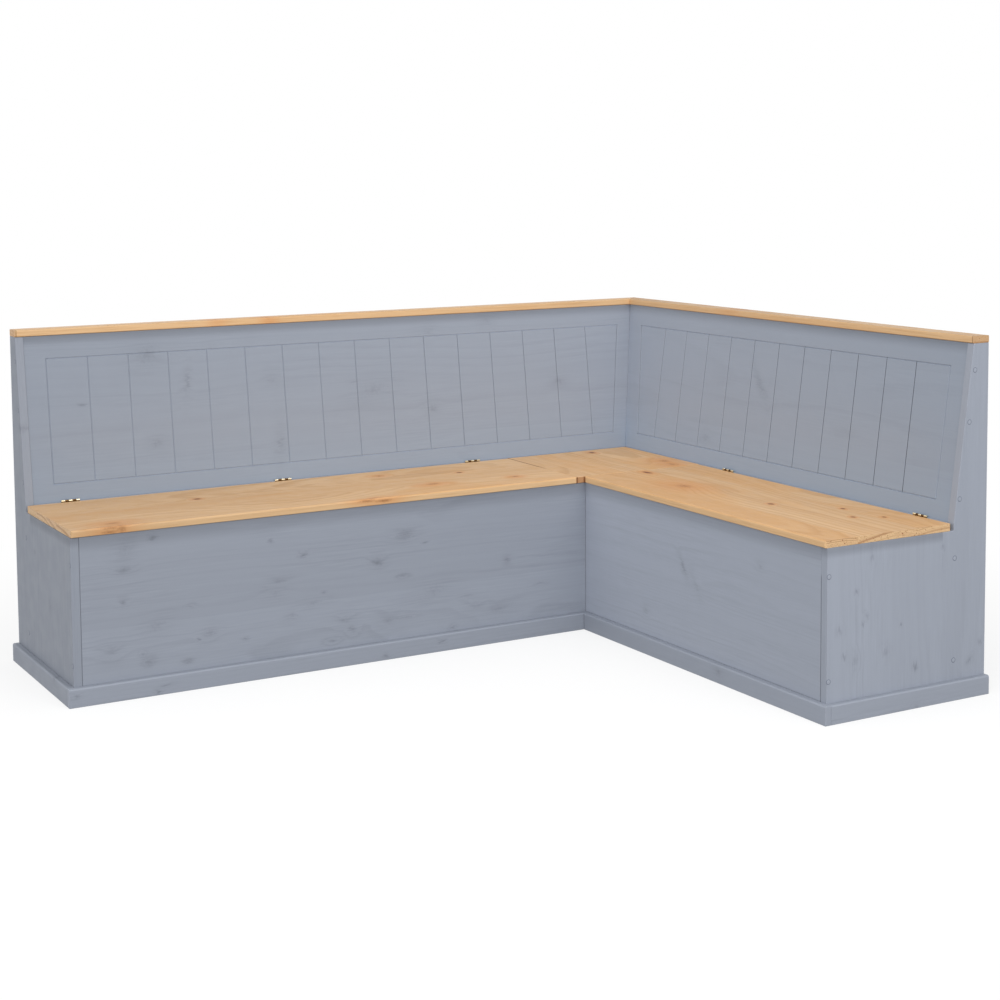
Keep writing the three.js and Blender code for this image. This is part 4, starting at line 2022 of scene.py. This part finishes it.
LONG_FRONT_KNOTS = (
    Knot(-0.850, 0.379, 0.016, 1.3, 0.5, 0.45),
    Knot(-0.856, 0.327, 0.009, 2.2, 0.0, 0.9),
    Knot(-0.782, 0.400, 0.008),
    Knot(-0.861, 0.244, 0.008, 1.2, 0.3, 0.8),
    Knot(-0.683, 0.212, 0.005, 1.6, 0.0, 0.6),
    Knot(-0.462, 0.358, 0.006, 1.2, 0.0, 0.9),
    Knot(-0.372, 0.310, 0.007, 1.3, 0.0, 0.8),
    Knot(-0.439, 0.249, 0.007, 3.0, 0.15, 0.4),
    Knot(-0.453, 0.216, 0.008, 2.0, 0.0, 0.3),
    Knot(-0.314, 0.203, 0.004, 1.5, 0.0, 0.7),
    Knot(-0.345, 0.178, 0.008, 3.0, 0.1, 0.45),
    Knot(-0.777, 0.174, 0.014, 1.9, 0.3, 0.4),
    Knot(-0.892, 0.127, 0.016, 1.1, 0.0, 0.4),
    Knot(-0.813, 0.106, 0.0055, 1.2, 0.0, 0.8),
    Knot(-0.798, 0.084, 0.010, 1.4, 0.2, 0.9),
    Knot(-0.695, 0.072, 0.006, 2.2, 0.0, 0.9),
    Knot(-0.664, 0.124, 0.0045, 1.2),
    Knot(-0.634, 0.137, 0.010, 1.4, 0.4, 0.5),
    Knot(-0.536, 0.109, 0.0035, 1.8, 0.0, 0.9),
    Knot(-0.407, 0.154, 0.007, 1.6, 0.6, 0.35),
    Knot(-0.073, 0.332, 0.014, 2.0, 0.15, 0.8),
    Knot(-0.012, 0.304, 0.0035, 1.6, 0.0, 0.9),
    Knot(-0.155, 0.266, 0.013, 1.3, -0.2, 0.85),
    Knot(-0.080, 0.221, 0.0045, 3.0, 0.0, 0.8),
    Knot(0.013, 0.166, 0.016, 2.2, 0.2, 0.35),
    Knot(0.116, 0.141, 0.004, 4.0, 0.0, 0.4),
    Knot(0.244, 0.228, 0.007, 1.2, 0.0, 0.5),
    Knot(0.351, 0.149, 0.004, 3.5, 0.0, 0.4),
    Knot(0.214, 0.091, 0.013, 2.0, 0.0, 0.22),
    Knot(0.144, 0.111, 0.010, 1.8, 0.0, 0.25),
    Knot(-0.254, 0.123, 0.010, 1.4, 0.0, 0.4),
    Knot(-0.234, 0.094, 0.010, 1.1, 0.0, 0.7),
    Knot(-0.290, 0.069, 0.005, 2.6, 0.0, 0.7),
    Knot(-0.079, 0.105, 0.003, 9.0, -0.03, 0.7),
    Knot(0.071, 0.057, 0.006, 1.3, 0.0, 0.8),
    Knot(-0.127, 0.101, 0.010, 1.3, 0.0, 0.25),
)
LONG_PLINTH_KNOTS = (
    Knot(-0.755, 0.023, 0.003, 5.0, 0.1, 0.7),
    Knot(-0.782, 0.008, 0.006, 1.3, 0.0, 0.9),
    Knot(-0.989, 0.028, 0.006, 1.3, 0.0, 0.7),
    Knot(0.029, 0.028, 0.006, 1.6, 0.0, 0.9),
    Knot(-0.140, 0.011, 0.006, 1.4, 0.0, 0.8),
)
SHORT_FRONT_KNOTS = (
    Knot(-0.190, 0.270, 0.008, 3.2, 1.0, 0.9),
    Knot(-0.250, 0.225, 0.006, 3.0, 0.9, 0.3),
    Knot(-0.016, 0.112, 0.010, 1.0, 0.0, 0.6),
    Knot(-0.52, 0.33, 0.006, depth=0.3),
)
SHORT_PLINTH_KNOTS = (Knot(-0.370, 0.030, 0.010, 1.4, 0.4, 0.6),)
# Where glued staves start across a board, and how much darker each one is.
LONG_FRONT_STEPS = ((0.182, 0.045), (0.101, -0.012), (0.075, 0.012))
RIGHT_END_STEPS = ((0.704, 0.02),)
RIGHT_END_KNOTS = (
    Knot(0.306, 0.593, 0.005),
    Knot(0.208, 0.733, 0.0035),
    Knot(0.242, 0.626, 0.006, depth=0.7),
    Knot(0.227, 0.614, 0.004),
    Knot(0.217, 0.542, 0.008, depth=0.8),
    Knot(0.152, 0.556, 0.006),
    Knot(0.140, 0.590, 0.009, depth=0.5),
    Knot(0.099, 0.781, 0.007),
    Knot(0.148, 0.686, 0.009, 1.4, 0.6, 0.6),
    Knot(0.131, 0.992, 0.006, 1.0, 0.8, 0.7),
    Knot(0.090, 0.957, 0.006, 2.6, 0.9, 0.7),
    Knot(0.385, 0.866, 0.004, depth=0.8),
    Knot(0.384, 0.640, 0.007, depth=0.6),
)
LEFT_END_KNOTS = (
    Knot(0.640, 0.720, 0.006),
    Knot(0.210, 0.480, 0.008, depth=0.6),
    Knot(0.330, 0.610, 0.005, depth=0.7),
)


def report(group: str, pieces: Iterable[Piece]) -> None:
    """Logs each piece of a sub-assembly."""
    for piece in pieces:
        LOG.info("%s: %s, %d faces", group, piece.name, len(getattr(piece.data, "polygons", ())))


def main() -> None:
    """Builds and dresses the bench, then the studio."""
    logging.basicConfig(level=logging.INFO, format="%(message)s")
    report("camera", [Viewpoint().build()])

    chests = (
        Chest(
            LONG_LEG, ribs=2, front_knots=LONG_FRONT_KNOTS, end_knots=LEFT_END_KNOTS,
            plinth_knots=LONG_PLINTH_KNOTS, shades=(1.03, 0.82, 1.0, 0.88), front_shade_grade=(0.955, 1.02),
            edge_shade=0.9, end_limit=0.65, front_steps=LONG_FRONT_STEPS, end_steps=(),
            seam_depth=0.3, seam_fade=None,
        ),
        Chest(
            SHORT_LEG, ribs=1, front_knots=SHORT_FRONT_KNOTS, end_knots=RIGHT_END_KNOTS,
            plinth_knots=SHORT_PLINTH_KNOTS, shades=(1.13, 1.08, 1.02, 1.02), front_shade_grade=(0.95, 1.12),
            edge_shade=1.0, end_limit=0.865, front_steps=(), end_steps=RIGHT_END_STEPS,
            seam_depth=0.9, seam_fade=(0.36, 0.345),
        ),
    )
    for chest in chests:
        report(chest.leg.name + " chest", chest.dress())

    backs = (
        Back(
            LONG_LEG, face=LONG_FACE, shade=0.98, cool=0.4, shade_grade=(0.885, 1.08),
            cap_shades=(0.92, 1.05), cap_seam=-0.9882, lip_shade_span=(31 * MILLIMETRE, 8 * MILLIMETRE),
            grooves=LONG_GROOVES, knots=LONG_BACK_KNOTS,
        ),
        Back(
            SHORT_LEG, face=SHORT_FACE, shade=1.0, cool=0.55, shade_grade=(0.9, 1.11),
            cap_shades=(0.78, 0.95), cap_seam=-0.7758, lip_shade_span=(33 * MILLIMETRE, 4 * MILLIMETRE),
            grooves=SHORT_GROOVES, knots=SHORT_BACK_KNOTS,
        ),
    )
    for back in backs:
        report(back.leg.name + " back", back.dress())

    lids = (
        Lid(LONG_LEG, battens=3, shade_grade=(0.89, 1.09), knots=LONG_SEAT_KNOTS),
        Lid(SHORT_LEG, battens=2, shade_grade=(0.99, 1.06), knots=SHORT_SEAT_KNOTS),
    )
    for lid in lids:
        report(lid.leg.name + " lid", lid.dress())
        report(lid.leg.name + " lid", lid.build())
    report("corner", Corner(CORNER_SEAT_KNOTS, CORNER_SEAMS).dress())

    for leg, count in ((LONG_LEG, 3), (SHORT_LEG, 2)):
        for number in range(1, count + 1):
            report("hinge", Hinge(leg.node(f"hinge_{number}"), leg.lid).build())
    # The plugs take their end panel's shade, partly painted light.
    for leg, shade in ((LONG_LEG, 0.82), (SHORT_LEG, 1.08)):
        report("plugs", [PlugRow(leg, PLUGS, shade).build()])

    report("studio", Studio().build())
    bpy.context.scene.view_settings.view_transform = "Standard"


if __name__ == "__main__":
    main()
